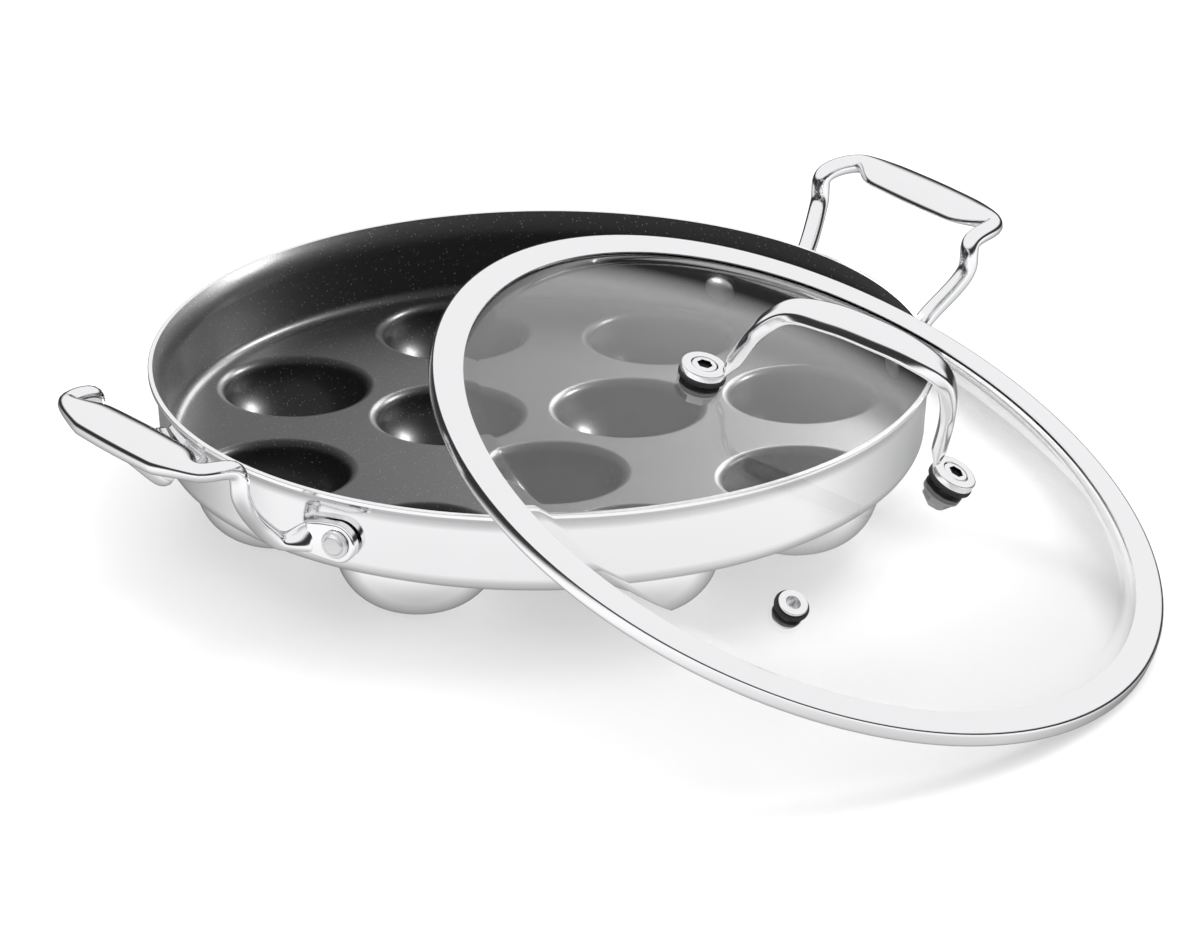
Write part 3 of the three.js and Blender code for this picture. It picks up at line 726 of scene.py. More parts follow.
def coating_material(finishes):
    """Dark non-stick coating with fine pale specks."""
    material, tree, shader, place = new_material("speckled_coating")
    cells = add_node(tree, "ShaderNodeTexVoronoi", {"Vector": place, "Scale": SPECK_SCALE}).outputs
    tone = add_node(tree, "ShaderNodeSeparateColor", {"Color": cells["Color"]}).outputs["Red"]
    chosen = spread_to(tree, tone, 0.0, 1.0, SPECK_CHOICE)
    near = spread_to(tree, cells["Distance"], 1.0, 0.0, SPECK_EDGE)
    speck = add_node(tree, "ShaderNodeMath", {0: chosen, 1: near}, operation="MULTIPLY").outputs[0]
    grain = noise(tree, place, GRAIN_SCALE)
    relief = add_node(tree, "ShaderNodeBump", {"Height": grain, "Strength": 0.06, "Distance": 0.1 * MM})
    rough = finishes.coating_roughness
    set_sockets(tree, shader, {
        "Base Color": blend_colours(tree, speck, opaque(finishes.coating), opaque(finishes.speck)),
        "Roughness": spread_to(tree, grain, rough * 0.85, rough * 1.15),
        "Normal": relief.outputs["Normal"],
        "Specular IOR Level": 0.15,
        "Coat Weight": 0.15,
        "Coat Roughness": finishes.gloss_roughness,
    })
    return material


def glass_material(finishes):
    """Clear tempered glass that mirrors the studio as a pale veil."""
    material, tree, shader, place = new_material("clear_glass")
    smear = noise(tree, place, SMEAR_SCALE)
    set_sockets(tree, shader, {
        "Base Color": opaque(finishes.glass),
        "Roughness": spread_to(tree, smear, 0.0, 0.02),
        "Transmission Weight": 1.0,
        "IOR": 1.5,
        "Specular IOR Level": 0.9,
        "Coat Weight": 0.2,
    })
    return material


def silicone_material(finishes):
    """Matt black silicone."""
    name = "black_silicone"
    if name in bpy.data.materials:
        return bpy.data.materials[name]
    material, tree, shader, place = new_material(name)
    grain = noise(tree, place, SILICONE_SCALE)
    lighter = [part * 1.6 for part in finishes.silicone]
    set_sockets(tree, shader, {
        "Base Color": blend_colours(tree, grain, opaque(finishes.silicone), opaque(lighter)),
        "Roughness": spread_to(tree, grain, 0.55, 0.75),
    })
    return material


# The pan


def pan_levels(pan):
    """Heights and radii that follow from the pan's sizes."""
    wall = pan.rim_radius - pan.lip_flare
    floor = pan.height - pan.floor_depth
    return wall, wall - pan.sheet, floor, floor - pan.sheet, pan.height - pan.lip_height


def cup_rings(cups):
    """(number, ring radius, start, step) of both rings of cups."""
    return [
        (cups.outer_count, cups.outer_ring, cups.outer_turn, FULL_TURN / cups.outer_count),
        (cups.inner_count, cups.inner_ring, cups.inner_turn, FULL_TURN / cups.inner_count),
    ]


def circle(centre, radius, segments, start=0.0):
    """Points round a circle in a plane."""
    return ellipse(centre, (radius, radius), start, start + FULL_TURN, segments)[:-1]


def add_plate(shape, height, edge, cups, hole, material):
    """Adds a flat round plate with a hole for each cup."""
    points = circle((0, 0), edge, PAN_SEGMENTS)
    loops = [range(len(points))]
    middles = []
    for number, ring, start, step in cup_rings(cups):
        for k in range(number):
            azimuth = start + k * step
            middle = Vector((ring * math.cos(azimuth), ring * math.sin(azimuth)))
            first = len(points)
            points += circle(middle, hole, CUP_SEGMENTS, azimuth)
            loops.append(range(first, len(points)))
            middles.append(middle)
    edges = [(loop[i - 1], loop[i]) for loop in loops for i in range(len(loop))]
    flat, _, faces, *_ = delaunay_2d_cdt(points, edges, [], 0, FLAT_WELD)
    verts = [shape.verts.new((p[0], p[1], height)) for p in flat]
    for face in faces:
        middle = sum((flat[i] for i in face), Vector((0, 0))) / len(face)
        if all((middle - m).length > hole * IN_HOLE for m in middles):
            shape.faces.new([verts[i] for i in face]).material_index = material


def add_cups(shape, outline, cups, finish, material):
    """Adds a skin revolved from an outline for every cup."""
    for number, ring, start, step in cup_rings(cups):
        skin = bmesh.new()
        add_lathe(skin, outline, CUP_SEGMENTS)
        mesh = copies(to_mesh("Cup skin", skin, [finish]), number, ring, start, step)
        before = len(shape.faces)
        shape.from_mesh(mesh)
        shape.faces.ensure_lookup_table()
        for face in shape.faces[before:]:
            face.material_index = material


class PAN_OT_body(bpy.types.Operator):
    """Builds the pan with its flared lip, floor and eleven pressed cups"""

    bl_idname = "paniyaram.body"
    bl_label = "Pan Body"

    def execute(self, context):
        pan = context.scene.pan_sizes
        cups = context.scene.cup_sizes
        finishes = context.scene.finishes
        steel = polished_steel(finishes)
        coating = coating_material(finishes)
        wall, mouth, floor, plate, lip_root = pan_levels(pan)
        lip_inner = pan.rim_radius - pan.lip_edge
        margin = pan.sheet / 12
        floor_edge = mouth - pan.wall_draft - pan.floor_corner
        flare = pan.lip_height * 3
        outer_flare = pan.lip_height * 1.75
        bevel = pan.lip_edge / 4
        inside = rounded([
            (floor_edge - margin, floor, 0),
            (floor_edge, floor, 0),
            (mouth - pan.wall_draft, floor, pan.floor_corner),
            (mouth, lip_root, flare),
            (lip_inner, pan.height, 0),
        ], steps=WALL_FILLET_STEPS)
        outer_corner = pan.floor_corner + pan.sheet
        plate_edge = wall - pan.wall_draft - outer_corner
        outside = rounded([
            (lip_inner, pan.height, 0),
            (pan.rim_radius, pan.height, bevel),
            (pan.rim_radius, pan.height - pan.lip_edge, bevel),
            (wall, lip_root, outer_flare),
            (wall - pan.wall_draft, plate, outer_corner),
            (plate_edge, plate, 0),
        ], steps=WALL_FILLET_STEPS)
        shape = bmesh.new()
        add_lathe(shape, inside, PAN_SEGMENTS, material=COATING)
        add_lathe(shape, outside, PAN_SEGMENTS, material=STEEL)

        hollow_top = floor - cups.edge
        hollow_mouth = cups.mouth + cups.edge
        hollow = [Vector((0, pan.sheet))]
        bowl = (cups.mouth - cups.bottom, hollow_top - pan.sheet)
        hollow += ellipse((cups.bottom, hollow_top), bowl, -QUARTER_TURN, 0)
        edge = (cups.edge, cups.edge)
        hollow += ellipse((hollow_mouth, hollow_top), edge, math.pi, QUARTER_TURN, CUP_EDGE_STEPS)[1:]
        hollow.append(Vector((hollow_mouth + margin, floor)))
        add_cups(shape, hollow, cups, coating, COATING)
        add_plate(shape, floor, floor_edge - margin, cups, hollow_mouth + margin, COATING)

        bulge_mouth = plate_edge - cups.outer_ring - margin
        bulge = [Vector((0, 0))]
        bulge += ellipse((cups.foot, plate), (bulge_mouth - cups.foot, plate), -QUARTER_TURN, 0)
        add_cups(shape, bulge, cups, steel, STEEL)
        add_plate(shape, plate, plate_edge, cups, bulge_mouth, STEEL)
        mesh = to_mesh("pan_body", shape, [steel, coating])
        add_piece("pan_body_fine", mesh, "pan", ["pan_body"])
        return {"FINISHED"}


def foot_face(pan):
    """Distance of a foot's inner face from the pan's axis."""
    return pan.rim_radius - pan.lip_flare + FIT_GAP


def add_foot(shape, pan, handle, side):
    """Adds a foot's plate against the wall, round at its far end, with softened edges."""
    face = foot_face(pan)
    rivet_z = pan.height - handle.drop
    half = handle.foot_height / 2
    near = half - handle.foot_length
    neck, waist = (half * share for share in FOOT_NECK)
    far_end = ellipse((0, 0), (half, half), -QUARTER_TURN, QUARTER_TURN)
    outline = [(near, -neck), (near / 2, -waist), *far_end, (near / 2, waist), (near, neck)]
    soft = handle.foot_thickness / 4
    flat = handle.foot_thickness - soft
    turn = Matrix.Rotation(side * handle.spread, 4, "Z")
    rings = []
    edge = ellipse((flat, soft), (soft, soft), -QUARTER_TURN, 0, FILLET_STEPS)
    for out, inset in ((0, 0), *edge):
        shrink = 1 - inset / half
        rings.append([
            turn @ Vector((face + out, side * slide * shrink, rivet_z + rise * shrink))
            for slide, rise in outline
        ])
    add_loft(shape, rings)


def handle_stops(pan, handle):
    """Stops of a bail handle's bar for the side that X points to, from foot to foot."""
    face = foot_face(pan)
    rivet_z = pan.height - handle.drop
    grip_x = pan.rim_radius + handle.reach - handle.width / 4
    grip_z = pan.height + handle.rise
    leg_x = grip_x - handle.set_back
    leg_y = handle.half_length + handle.leg_spread
    rod = handle.rod
    rod_wall = face + rod / 2
    foot_middle = face + handle.foot_thickness / 2
    bend = rod / 3

    def grip(y, size):
        width, thickness = handle.width * size, handle.thickness * size
        return Stop((grip_x, y, grip_z), width, thickness, *GRIP_SQUARE, handle.wedge, handle.draft)

    def half(side):
        def on_wall(radius, slide, z):
            x = radius * math.cos(handle.spread) - slide * math.sin(handle.spread)
            y = radius * math.sin(handle.spread) + slide * math.cos(handle.spread)
            return Vector((x, side * y, z))

        near = -handle.foot_length
        thickness = handle.foot_thickness
        low = on_wall(rod_wall + handle.clearance, near * LEG_LOW[0], rivet_z + rod * LEG_LOW[1])
        landing = on_wall(rod_wall + bend, near, rivet_z - bend)
        plate = on_wall(foot_middle + thickness / 5, near * PLATE_SLIDE, rivet_z)
        tip = on_wall(foot_middle, -handle.foot_height / 2, rivet_z)
        return [
            grip(side * handle.half_length * GRIP_STOP[0], GRIP_STOP[1]),
            Stop((grip_x, side * handle.half_length, grip_z), rod, rod),
            Stop((leg_x, side * leg_y, grip_z - bend), rod, rod),
            Stop((leg_x - bend, side * leg_y, grip_z - handle.knee_drop), rod, rod),
            Stop(low, rod, rod),
            Stop(landing, rod, rod),
            Stop(plate, handle.foot_height * PLATE_HEIGHTS[0], thickness),
            Stop(tip, handle.foot_height * PLATE_HEIGHTS[1], thickness * SUNK),
        ]

    return [*reversed(half(-1)), grip(0, 1), *half(1)]


class PAN_OT_handles(bpy.types.Operator):
    """Builds the two cast bail handles"""

    bl_idname = "paniyaram.handles"
    bl_label = "Side Handles"

    def execute(self, context):
        pan = context.scene.pan_sizes
        handle = context.scene.handle_sizes
        steel = polished_steel(context.scene.finishes)
        stops = handle_stops(pan, handle)
        for name, azimuth in (("handle_right", 0), ("handle_left", math.pi)):
            shape = bmesh.new()
            add_bar(shape, stops, OUTWARDS, DOWNWARDS)
            for side in (-1, 1):
                add_foot(shape, pan, handle, side)
            mesh = to_mesh(name, shape, [steel], HANDLE_SHARP)
            turn = Matrix.Rotation(azimuth, 4, "Z")
            add_piece(name + "_fine", mesh, "pan", [name], turn)
        return {"FINISHED"}


class PAN_OT_rivets(bpy.types.Operator):
    """Builds the four rivets that hold the handles"""

    bl_idname = "paniyaram.rivets"
    bl_label = "Rivets"

    def execute(self, context):
        pan = context.scene.pan_sizes
        handle = context.scene.handle_sizes
        rivet = context.scene.rivet_sizes
        finishes = context.scene.finishes
        steel = steel_material("rivet_steel", finishes.rivet, finishes.rivet_roughness)
        mouth = pan_levels(pan)[1]
        head_face = mouth - pan.wall_draft - 2 * FIT_GAP
        collar_face = foot_face(pan) + handle.foot_thickness + FIT_GAP
        collar_top = collar_face + rivet.collar_height
        tail_top = collar_face + rivet.tail_height
        tail_fillet = (tail_top - collar_top) * 0.9
        outline = ellipse((0, head_face), (rivet.head, rivet.head_height), -QUARTER_TURN, 0, RIVET_STEPS)
        outline += rounded([
            (rivet.shank, head_face, 0),
            (rivet.shank, collar_face, 0),
            (rivet.collar, collar_face, 0),
            (rivet.collar, collar_top, rivet.collar_height / 2),
            (rivet.tail, collar_top, 0),
            (rivet.tail, tail_top, tail_fillet),
            (0, tail_top, 0),
        ])
        shape = bmesh.new()
        point_outwards = Matrix.Rotation(QUARTER_TURN, 4, "Y")
        point_outwards.translation = UPWARDS * (pan.height - handle.drop)
        add_lathe(shape, outline, SMALL_SEGMENTS, turn=point_outwards)
        one = to_mesh("Rivet", shape, [steel])
        eighth = math.pi / 4
        nodes = [f"rivet_{side}_{end}" for side in ("left", "right") for end in ("front", "rear")]
        mesh = copies(one, len(nodes), 0.0, eighth, QUARTER_TURN, handle.spread - eighth)
        add_piece("rivets_fine", mesh, "pan", nodes)
        return {"FINISHED"}


# The lid


def node_points(name):
    """A CAD node's vertices in the row frame."""
    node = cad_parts[name]
    return [node.matrix_world @ vertex.co for vertex in node.data.vertices]


def node_middle(name):
    """The mean of a CAD node's vertices."""
    points = node_points(name)
    return sum(points, Vector()) / len(points)


def lid_axes():
    """The lid's place from the frame, on its axis at the band's top, and its radius."""
    upper, lower = node_middle("lid_screw_upper"), node_middle("lid_screw_lower")
    lifts = (upper - node_middle("lid_nut_upper"), lower - node_middle("lid_nut_lower"))
    normal = sum((lift.normalized() for lift in lifts), Vector()).normalized()
    along = square_to(lower - upper, normal)
    middle = node_middle("lid_band")
    steps = [p - middle for p in node_points("lid_band")]
    top = max(step.dot(normal) for step in steps)
    radius = max((step - normal * step.dot(normal)).length for step in steps)
    turn = Matrix((along, normal.cross(along), normal)).transposed().to_4x4()
    turn.translation = middle + normal * top
    return turn, radius


class Dome:
    """The glass dome's shape: where its faces are and how a piece stands on it."""

    def __init__(self, lid, radius):
        self.glass_top = -(lid.sheet + lid.gap)
        self.foot = radius - lid.width - lid.gap
        height = lid.rise - self.glass_top
        self.radius = (self.foot**2 + height**2) / (2 * height)
        self.centre = lid.rise - self.radius

    def vent_seat(self, lid):
        """The steam vent's place."""
        return self.seat(lid.vent_ring * math.sin(lid.vent_turn), -lid.vent_ring * math.cos(lid.vent_turn))

    def seat(self, x, y):
        """The place of a piece that stands square on the outer face."""
        place = Vector((x, y, self.centre + math.sqrt(self.radius**2 - x**2 - y**2)))
        normal = (place - UPWARDS * self.centre).normalized()
        return Matrix.Translation(place) @ UPWARDS.rotation_difference(normal).to_matrix().to_4x4()


class Stack:
    """Heights of the pieces at a foot of the lid's handle, from the glass's outer face."""

    def __init__(self, lid, fixing):
        self.gasket_bottom = lid.gap
        self.gasket_top = self.gasket_bottom + fixing.gasket_thickness
        self.foot_bottom = self.gasket_top + lid.gap
        self.foot_top = self.foot_bottom + fixing.foot_thickness
        self.recess = self.foot_top - fixing.head_height
        self.under_top = -lid.glass - lid.gap
        self.under_bottom = self.under_top - fixing.gasket_thickness
        self.washer_top = self.under_bottom - lid.gap
        self.washer_bottom = self.washer_top - fixing.washer
        self.nut_top = self.washer_bottom - lid.gap
        self.nut_bottom = self.nut_top - fixing.nut_height


class PAN_OT_glass(bpy.types.Operator):
    """Builds the domed glass with its screw holes and vent hole"""

    bl_idname = "paniyaram.glass"
    bl_label = "Lid Glass"

    def execute(self, context):
        lid = context.scene.lid_sizes
        fixing = context.scene.fixing_sizes
        glass = glass_material(context.scene.finishes)
        turn, radius = lid_axes()
        dome = Dome(lid, radius)
        edge = radius - lid.sheet - lid.gap
        underside = dome.glass_top - lid.glass
        inner = dome.radius - lid.glass
        soft = lid.glass / 6

        def turn_at(face, z):
            return math.asin((z - dome.centre) / face)

        middle = (0, dome.centre)
        outline = ellipse(middle, (dome.radius,) * 2, QUARTER_TURN, turn_at(dome.radius, dome.glass_top))
        outline += rounded([
            (dome.foot, dome.glass_top, 0),
            (edge, dome.glass_top, soft),
            (edge, underside, soft),
            (dome.foot, underside, 0),
        ])[1:-1]
        outline += ellipse(middle, (inner,) * 2, turn_at(inner, underside), QUARTER_TURN)
        shape = bmesh.new()
        add_lathe(shape, outline, LID_SEGMENTS)
        whole = to_mesh("Lid glass", shape, [glass])
        screw_hole = fixing.screw + lid.gap
        vent_hole = fixing.vent_bore + fixing.vent_wall + lid.gap
        reach = 3 * lid.glass
        screw_seats = [dome.seat(side * lid.span / 2, 0) for side in (-1, 1)]
        holes = [plug_mesh(screw_hole, -reach, reach, glass, seat) for seat in screw_seats]
        holes.append(plug_mesh(vent_hole, -reach, reach, glass, dome.vent_seat(lid)))
        piece = add_piece("lid_glass_fine", cut(whole, *holes), "lid", ["lid_glass"], turn)
        piece.visible_shadow = False
        return {"FINISHED"}


class PAN_OT_band(bpy.types.Operator):
    """Builds the rolled steel band round the glass"""

    bl_idname = "paniyaram.band"
    bl_label = "Lid Band"

    def execute(self, context):
        lid = context.scene.lid_sizes
        steel = polished_steel(context.scene.finishes)
        turn, radius = lid_axes()
        inner = radius - lid.width
        under = inner + lid.set_back
        wall = radius - lid.sheet
        bottom = -(lid.glass + 2 * (lid.sheet + lid.gap))
        fold = lid.sheet * FOLD
        roll = lid.sheet * 2.4
        corners = [
            (inner, 0, fold), (inner, -lid.sheet, fold), (wall, -lid.sheet, roll - lid.sheet),
            (wall, bottom + lid.sheet, roll - lid.sheet), (under, bottom + lid.sheet, fold),
            (under, bottom, fold), (radius, bottom, roll), (radius, 0, roll),
        ]
        mesh = lathe_mesh("lid_band", corners, steel, turn, segments=LID_SEGMENTS)
        add_piece("lid_band_fine", mesh, "lid", ["lid_band"])
        return {"FINISHED"}


class PAN_OT_lid_handle(bpy.types.Operator):
    """Builds the lid's arched handle with its two round feet"""

    bl_idname = "paniyaram.lid_handle"
    bl_label = "Lid Handle"

    def execute(self, context):
        lid = context.scene.lid_sizes
        fixing = context.scene.fixing_sizes
        steel = polished_steel(context.scene.finishes)
        turn, radius = lid_axes()
        dome = Dome(lid, radius)
        stack = Stack(lid, fixing)
        seats = [dome.seat(side * lid.span / 2, 0) for side in (-1, 1)]
        foot_z = seats[0].translation.z + stack.foot_bottom + fixing.foot_thickness / 2
        leg_x = lid.span / 2 - lid.set_in
        leg = lid.leg

        def at(x, rise):
            return (x * leg_x, 0, foot_z + rise * lid.handle_rise)

        def grip(x, rise, size):
            width = lid.grip_width * size
            return Stop(at(x, rise), width, lid.grip_thickness, *LID_GRIP_SQUARE, 0, lid.draft)

        def half(side):
            return [
                *(grip(side * x, rise, size) for x, rise, size in LID_GRIP_STOPS),
                *(Stop(at(side * x, rise), leg, leg) for x, rise in LID_LEG_STOPS),
                Stop(at(side, 0), leg, fixing.foot_thickness * SUNK),
            ]

        shape = bmesh.new()
        add_bar(shape, [*half(1)[::-1], grip(0, 1, 1), *half(-1)], SIDEWAYS, SIDEWAYS)
        hole = fixing.screw + lid.gap
        recess = fixing.head + lid.gap
        soft = fixing.foot_thickness / 4
        disc = rounded([
            (hole, stack.foot_bottom, 0), (fixing.foot, stack.foot_bottom, soft / 2),
            (fixing.foot, stack.foot_top, soft), (recess, stack.foot_top, soft / 3),
            (recess, stack.recess, 0), (hole, stack.recess, 0),
        ], True)
        for seat in seats:
            add_lathe(shape, disc, SMALL_SEGMENTS, True, turn=seat)
        mesh = to_mesh("lid_handle", shape, [steel], LID_HANDLE_SHARP)
        piece = add_piece("lid_handle_fine", mesh, "lid", ["lid_handle"], turn)
        piece.visible_glossy = False
        return {"FINISHED"}


class PAN_OT_fixings(bpy.types.Operator):
    """Builds the screws, gaskets, washers and cap nuts of the lid's handle"""

    bl_idname = "paniyaram.fixings"
    bl_label = "Lid Fixings"

    def execute(self, context):
        lid = context.scene.lid_sizes
        fixing = context.scene.fixing_sizes
        finishes = context.scene.finishes
        steel = polished_steel(finishes)
        # Near-black painted shade for the screws' sockets
        dark = steel_material("dark_steel", finishes.dark_steel, finishes.rivet_roughness)
        # Darker painted shade for the nuts and washers under the glass
        shaded = steel_material("nut_steel", finishes.nut_steel, finishes.rivet_roughness)
        silicone = silicone_material(finishes)
        turn, radius = lid_axes()
        seat = Dome(lid, radius).seat(lid.span / 2, 0)
        stack = Stack(lid, fixing)
        hole = fixing.screw + lid.gap
        under = fixing.gasket - fixing.gasket_thickness

        def washer(outer, bottom, top, material):
            return washer_mesh("Washer", hole, outer, bottom, top, material, seat)

        head_bottom = stack.recess + lid.gap
        head_top = head_bottom + fixing.head_height - lid.gap
        tip = stack.nut_bottom + fixing.nut_floor + lid.gap
        screw = lathe_mesh("Screw", [
            (0, tip, 0), (fixing.screw, tip, 0), (fixing.screw, head_bottom, 0),
            (fixing.head, head_bottom, 0), (fixing.head, head_top, fixing.head_height / 3), (0, head_top, 0),
        ], steel, seat, False)
        depth = fixing.socket_depth
        # The socket's faces carry the near-black painted shade
        socket = plug_mesh(fixing.socket, head_top - depth, head_top + depth, dark, seat, HEXAGON)
        floor = fixing.nut_floor
        cap = fixing.nut * 0.6
        shoulder = stack.nut_bottom + floor * 1.5
        # The cap nuts and washers carry the darker painted shade
        nut = lathe_mesh("Nut", [
            (0, stack.nut_bottom, 0), (cap, stack.nut_bottom, 0), (fixing.nut, shoulder, 0),
            (fixing.nut, stack.nut_top, 0), (0, stack.nut_top, 0),
        ], shaded, seat, False, HEXAGON)
        bore = plug_mesh(hole, stack.nut_bottom + floor, stack.nut_top + floor, shaded, seat)
        kinds = {
            "screw": (cut(screw, socket), "polished_steel"),
            "gasket": (washer(fixing.gasket, stack.gasket_bottom, stack.gasket_top, silicone), "silicone"),
            "under_gasket": (washer(under, stack.under_bottom, stack.under_top, silicone), "silicone"),
            "washer": (washer(under, stack.washer_bottom, stack.washer_top, shaded), "polished_steel"),
            "nut": (cut(nut, bore), "polished_steel"),
        }
        for kind, (mesh, slot) in kinds.items():
            nodes = [f"lid_{kind}_{end}" for end in ("upper", "lower")]
            pair = copies(mesh, len(nodes), 0.0, 0.0, math.pi)
            add_piece(f"lid_{kind}s_fine", pair, "lid", nodes, turn)
        return {"FINISHED"}


class PAN_OT_vent(bpy.types.Operator):
    """Builds the steam vent's eyelet and gaskets"""

    bl_idname = "paniyaram.vent"
    bl_label = "Steam Vent"

    def execute(self, context):
        lid = context.scene.lid_sizes
        fixing = context.scene.fixing_sizes
        finishes = context.scene.finishes
        steel = polished_steel(finishes)
        silicone = silicone_material(finishes)
        turn, radius = lid_axes()
        seat = turn @ Dome(lid, radius).vent_seat(lid)
        bore = fixing.vent_bore
        tube = bore + fixing.vent_wall
        flange_bottom = fixing.vent_gasket_thickness + 2 * lid.gap
        flange_top = flange_bottom + fixing.flange_thickness
        roll_top = -lid.glass - flange_bottom
        roll_bottom = roll_top - fixing.flange_thickness
        roll = fixing.vent_flange - fixing.vent_wall / 2
        soft = fixing.flange_thickness * FOLD
        eyelet = lathe_mesh("vent_eyelet", [
            (bore, flange_top, soft), (bore, roll_bottom, soft),
            (roll, roll_bottom, soft), (roll, roll_top, soft),
            (tube, roll_top, 0), (tube, flange_bottom, 0),
            (fixing.vent_flange, flange_bottom, 0), (fixing.vent_flange, flange_top, soft),
        ], steel, seat)
        add_piece("vent_eyelet_fine", eyelet, "lid", ["vent_eyelet"])
        hole = tube + lid.gap
        thick = fixing.vent_gasket_thickness
        lower_radius = fixing.vent_gasket - fixing.vent_wall
        lower_bottom = -lid.glass - lid.gap - thick
        for name, outer, bottom in (
            ("vent_gasket", fixing.vent_gasket, lid.gap),
            ("vent_under_gasket", lower_radius, lower_bottom),
        ):
            mesh = washer_mesh(name, hole, outer, bottom, bottom + thick, silicone, seat)
            add_piece(name + "_fine", mesh, "lid", [name])
        return {"FINISHED"}


# The stage


def add_light(name, place, size, energy):
    """A soft light that faces the pan and isn't mirrored."""
    light = bpy.data.lights.new(name, "AREA")
    light.shape = "RECTANGLE"
    light.size, light.size_y = size
    light.energy = energy
    lamp = bpy.data.objects.new(name, light)
    lamp.location = TO_VIEW @ Vector(place)
    lamp.rotation_euler = (-lamp.location).to_track_quat("-Z", "Y").to_euler()
    lamp.visible_camera = False
    lamp.visible_glossy = False
    lamp.visible_transmission = False
    bpy.context.scene.collection.objects.link(lamp)
    return lamp


def light_only(lamp, receiver):
    """Keeps a light to one object."""
    receivers = bpy.data.collections.new(lamp.name + "_receivers")
    receivers.objects.link(receiver)
    lamp.light_linking.receiver_collection = receivers


def add_card(name, place, size, energy, piece):
    """A bright card that only one piece mirrors."""
    lamp = add_light(name, place, size, energy)
    lamp.visible_glossy = True
    lamp.visible_diffuse = False
    light_only(lamp, bpy.data.objects[piece])
    return lamp


def add_camera():
    """The camera at the photograph's place, on a long lens."""
    data = bpy.data.cameras.new("Camera")
    data.lens = LENS
    data.sensor_width = SENSOR
    data.sensor_fit = "HORIZONTAL"
    data.clip_end = 50
    yaw, pitch, roll = (math.radians(turn) for turn in CAMERA_TURNS)
    ahead = Vector((math.sin(yaw) * math.cos(pitch), math.cos(yaw) * math.cos(pitch), -math.sin(pitch)))
    level = Vector((math.cos(yaw), -math.sin(yaw), 0))
    above = level.cross(ahead)
    right = level * math.cos(roll) + above * math.sin(roll)
    up = above * math.cos(roll) - level * math.sin(roll)
    axes = Matrix((right, up, -ahead)).transposed().to_4x4()
    axes.translation = Vector(CAMERA_PLACE) * MM
    camera = bpy.data.objects.new("Camera", data)
    camera.matrix_world = TO_VIEW @ axes
    bpy.context.scene.collection.objects.link(camera)
    bpy.context.scene.camera = camera


def add_world():
    """A white studio: dark along the horizon, and below it white in front and dark behind."""
    world = bpy.data.worlds.new("Studio")
    world.use_nodes = True
    tree = world.node_tree
    around = add_node(tree, "ShaderNodeTexCoord").outputs["Generated"]
    facing = add_node(tree, "ShaderNodeMapping", {"Vector": around, "Rotation": (0, 0, -VIEW_TURN)})
    split = add_node(tree, "ShaderNodeSeparateXYZ", {0: facing.outputs["Vector"]}).outputs
    height = spread_to(tree, split["Z"], 0.0, 1.0, (-1.0, 1.0))
    behind = spread_to(tree, split["Y"], 0.0, 1.0, BACK_REACH)

    def tones(below, side, horizon, above):
        ramp = add_node(tree, "ShaderNodeValToRGB", {"Fac": height})
        stops = ramp.color_ramp.elements
        stops[0].position, stops[0].color = 0.0, (below, below, below, 1)
        stops[1].position, stops[1].color = 1.0, (above, above, above, 1)
        bands = [(place, side) for place in SIDE_BAND] + [(place, horizon) for place in HORIZON_BAND]
        for position, tone in (*bands, (SKY_START, above)):
            stops.new(position).color = (tone, tone, tone, 1)
        return ramp.outputs["Color"]

    studio = blend_colours(tree, behind, tones(*FRONT_TONES), tones(*BACK_TONES))
    set_sockets(tree, tree.nodes["Background"], {"Color": studio, "Strength": STUDIO_STRENGTH})
    bpy.context.scene.world = world


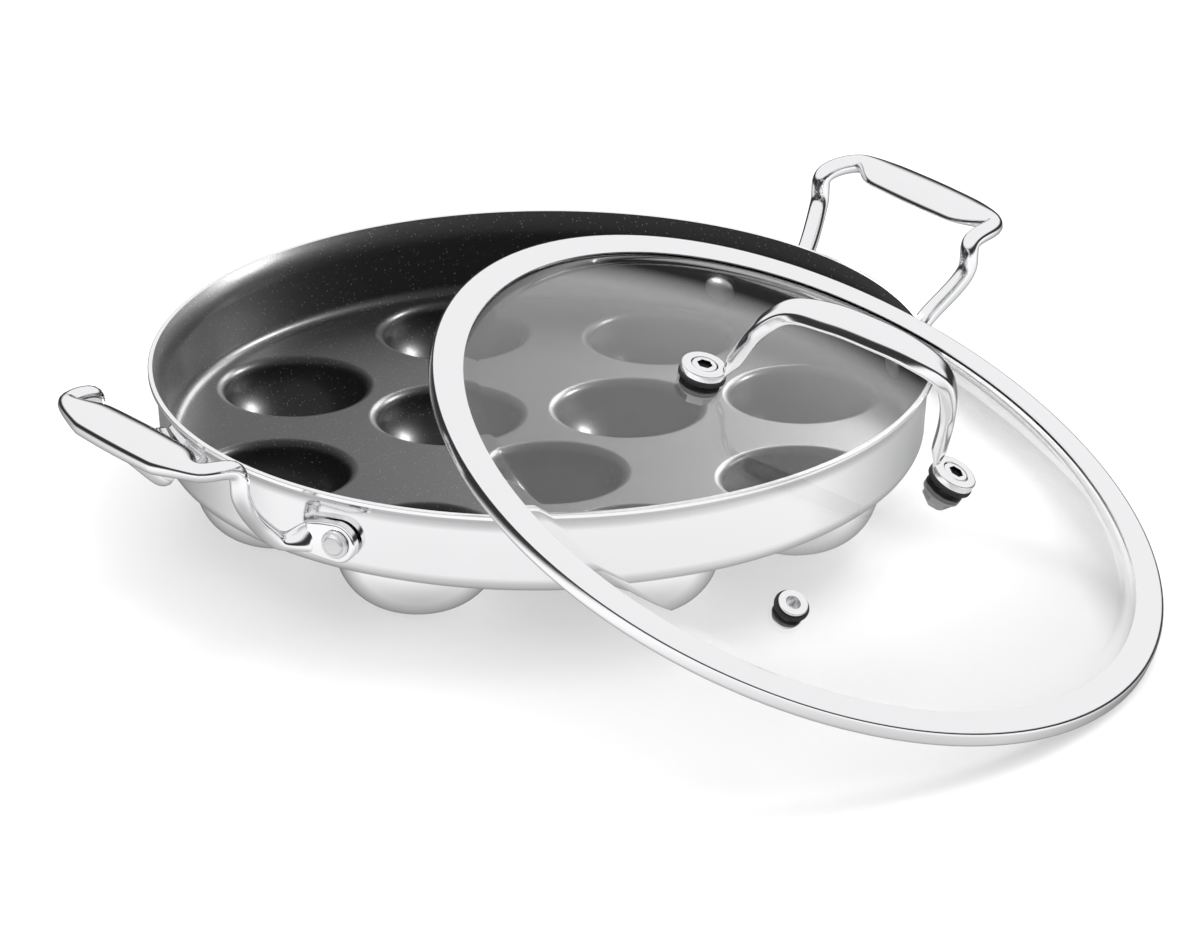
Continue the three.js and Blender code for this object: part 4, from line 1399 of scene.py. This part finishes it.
class PAN_OT_stage(bpy.types.Operator):
    """Sets the floor, lights and camera"""

    bl_idname = "paniyaram.stage"
    bl_label = "Stage"

    def execute(self, context):
        finishes = context.scene.finishes
        material, tree, shader, place = new_material("floor")
        grain = noise(tree, place, FLOOR_SCALE)
        darker = [part * 0.985 for part in finishes.floor]
        set_sockets(tree, shader, {
            "Base Color": blend_colours(tree, grain, opaque(darker), opaque(finishes.floor)),
            "Roughness": 0.6,
            "Specular IOR Level": 0.2,
        })
        shape = bmesh.new()
        bmesh.ops.create_grid(shape, x_segments=1, y_segments=1, size=FLOOR_SIZE)
        floor = bpy.data.objects.new("floor", to_mesh("floor", shape, [material]))
        context.scene.collection.objects.link(floor)
        floor.visible_glossy = False
        context.scene.cycles.sample_clamp_direct = BRIGHTEST
        for name, (place, size, power, shaded) in PAN_CARDS.items():
            add_card(name, place, size, power, "pan_body_fine").data.use_shadow = shaded
        add_card("rivet_card", (-1.5, -0.6, 1.1), (0.6, 0.6), 30, "rivets_fine")
        add_light("soft_top", (1.1, 0.7, 2.2), (1.2, 1.2), 15)
        floor_light = add_light("floor_fill", (0, 0, 3), (2, 2), 36)
        floor_light.data.use_shadow = False
        light_only(floor_light, floor)
        add_world()
        add_camera()
        context.scene.view_settings.view_transform = "Standard"
        return {"FINISHED"}


OPERATORS = (
    PAN_OT_body,
    PAN_OT_handles,
    PAN_OT_rivets,
    PAN_OT_glass,
    PAN_OT_band,
    PAN_OT_lid_handle,
    PAN_OT_fixings,
    PAN_OT_vent,
    PAN_OT_stage,
)

GROUPS = {
    "pan_sizes": PanSizes,
    "cup_sizes": CupSizes,
    "handle_sizes": HandleSizes,
    "rivet_sizes": RivetSizes,
    "lid_sizes": LidSizes,
    "fixing_sizes": FixingSizes,
    "finishes": Finishes,
}


class PAN_PT_sidebar(bpy.types.Panel):
    """Lists the pieces that can be built and their sizes"""

    bl_idname = "PAN_PT_sidebar"
    bl_label = "Paniyaram Pan"
    bl_space_type = "VIEW_3D"
    bl_region_type = "UI"
    bl_category = "Pan"

    def draw(self, context):
        for operator in OPERATORS:
            self.layout.operator(operator.bl_idname)
        for name in GROUPS:
            group = getattr(context.scene, name)
            box = self.layout.box()
            for field in group.bl_rna.properties:
                if field.identifier not in ("rna_type", "name"):
                    box.prop(group, field.identifier)


def register():
    """Registers the properties, operators and panel."""
    for name, group in GROUPS.items():
        bpy.utils.register_class(group)
        setattr(bpy.types.Scene, name, PointerProperty(type=group))
    for operator in OPERATORS:
        bpy.utils.register_class(operator)
    bpy.utils.register_class(PAN_PT_sidebar)


def unregister():
    """Removes the panel, operators and properties."""
    bpy.utils.unregister_class(PAN_PT_sidebar)
    for operator in reversed(OPERATORS):
        bpy.utils.unregister_class(operator)
    for name, group in reversed(GROUPS.items()):
        delattr(bpy.types.Scene, name)
        bpy.utils.unregister_class(group)


def main():
    """Builds the whole scene."""
    register()
    bpy.ops.paniyaram.body()
    bpy.ops.paniyaram.handles()
    bpy.ops.paniyaram.rivets()
    bpy.ops.paniyaram.glass()
    bpy.ops.paniyaram.band()
    bpy.ops.paniyaram.lid_handle()
    bpy.ops.paniyaram.fixings()
    bpy.ops.paniyaram.vent()
    bpy.ops.paniyaram.stage()


if __name__ == "__main__":
    main()
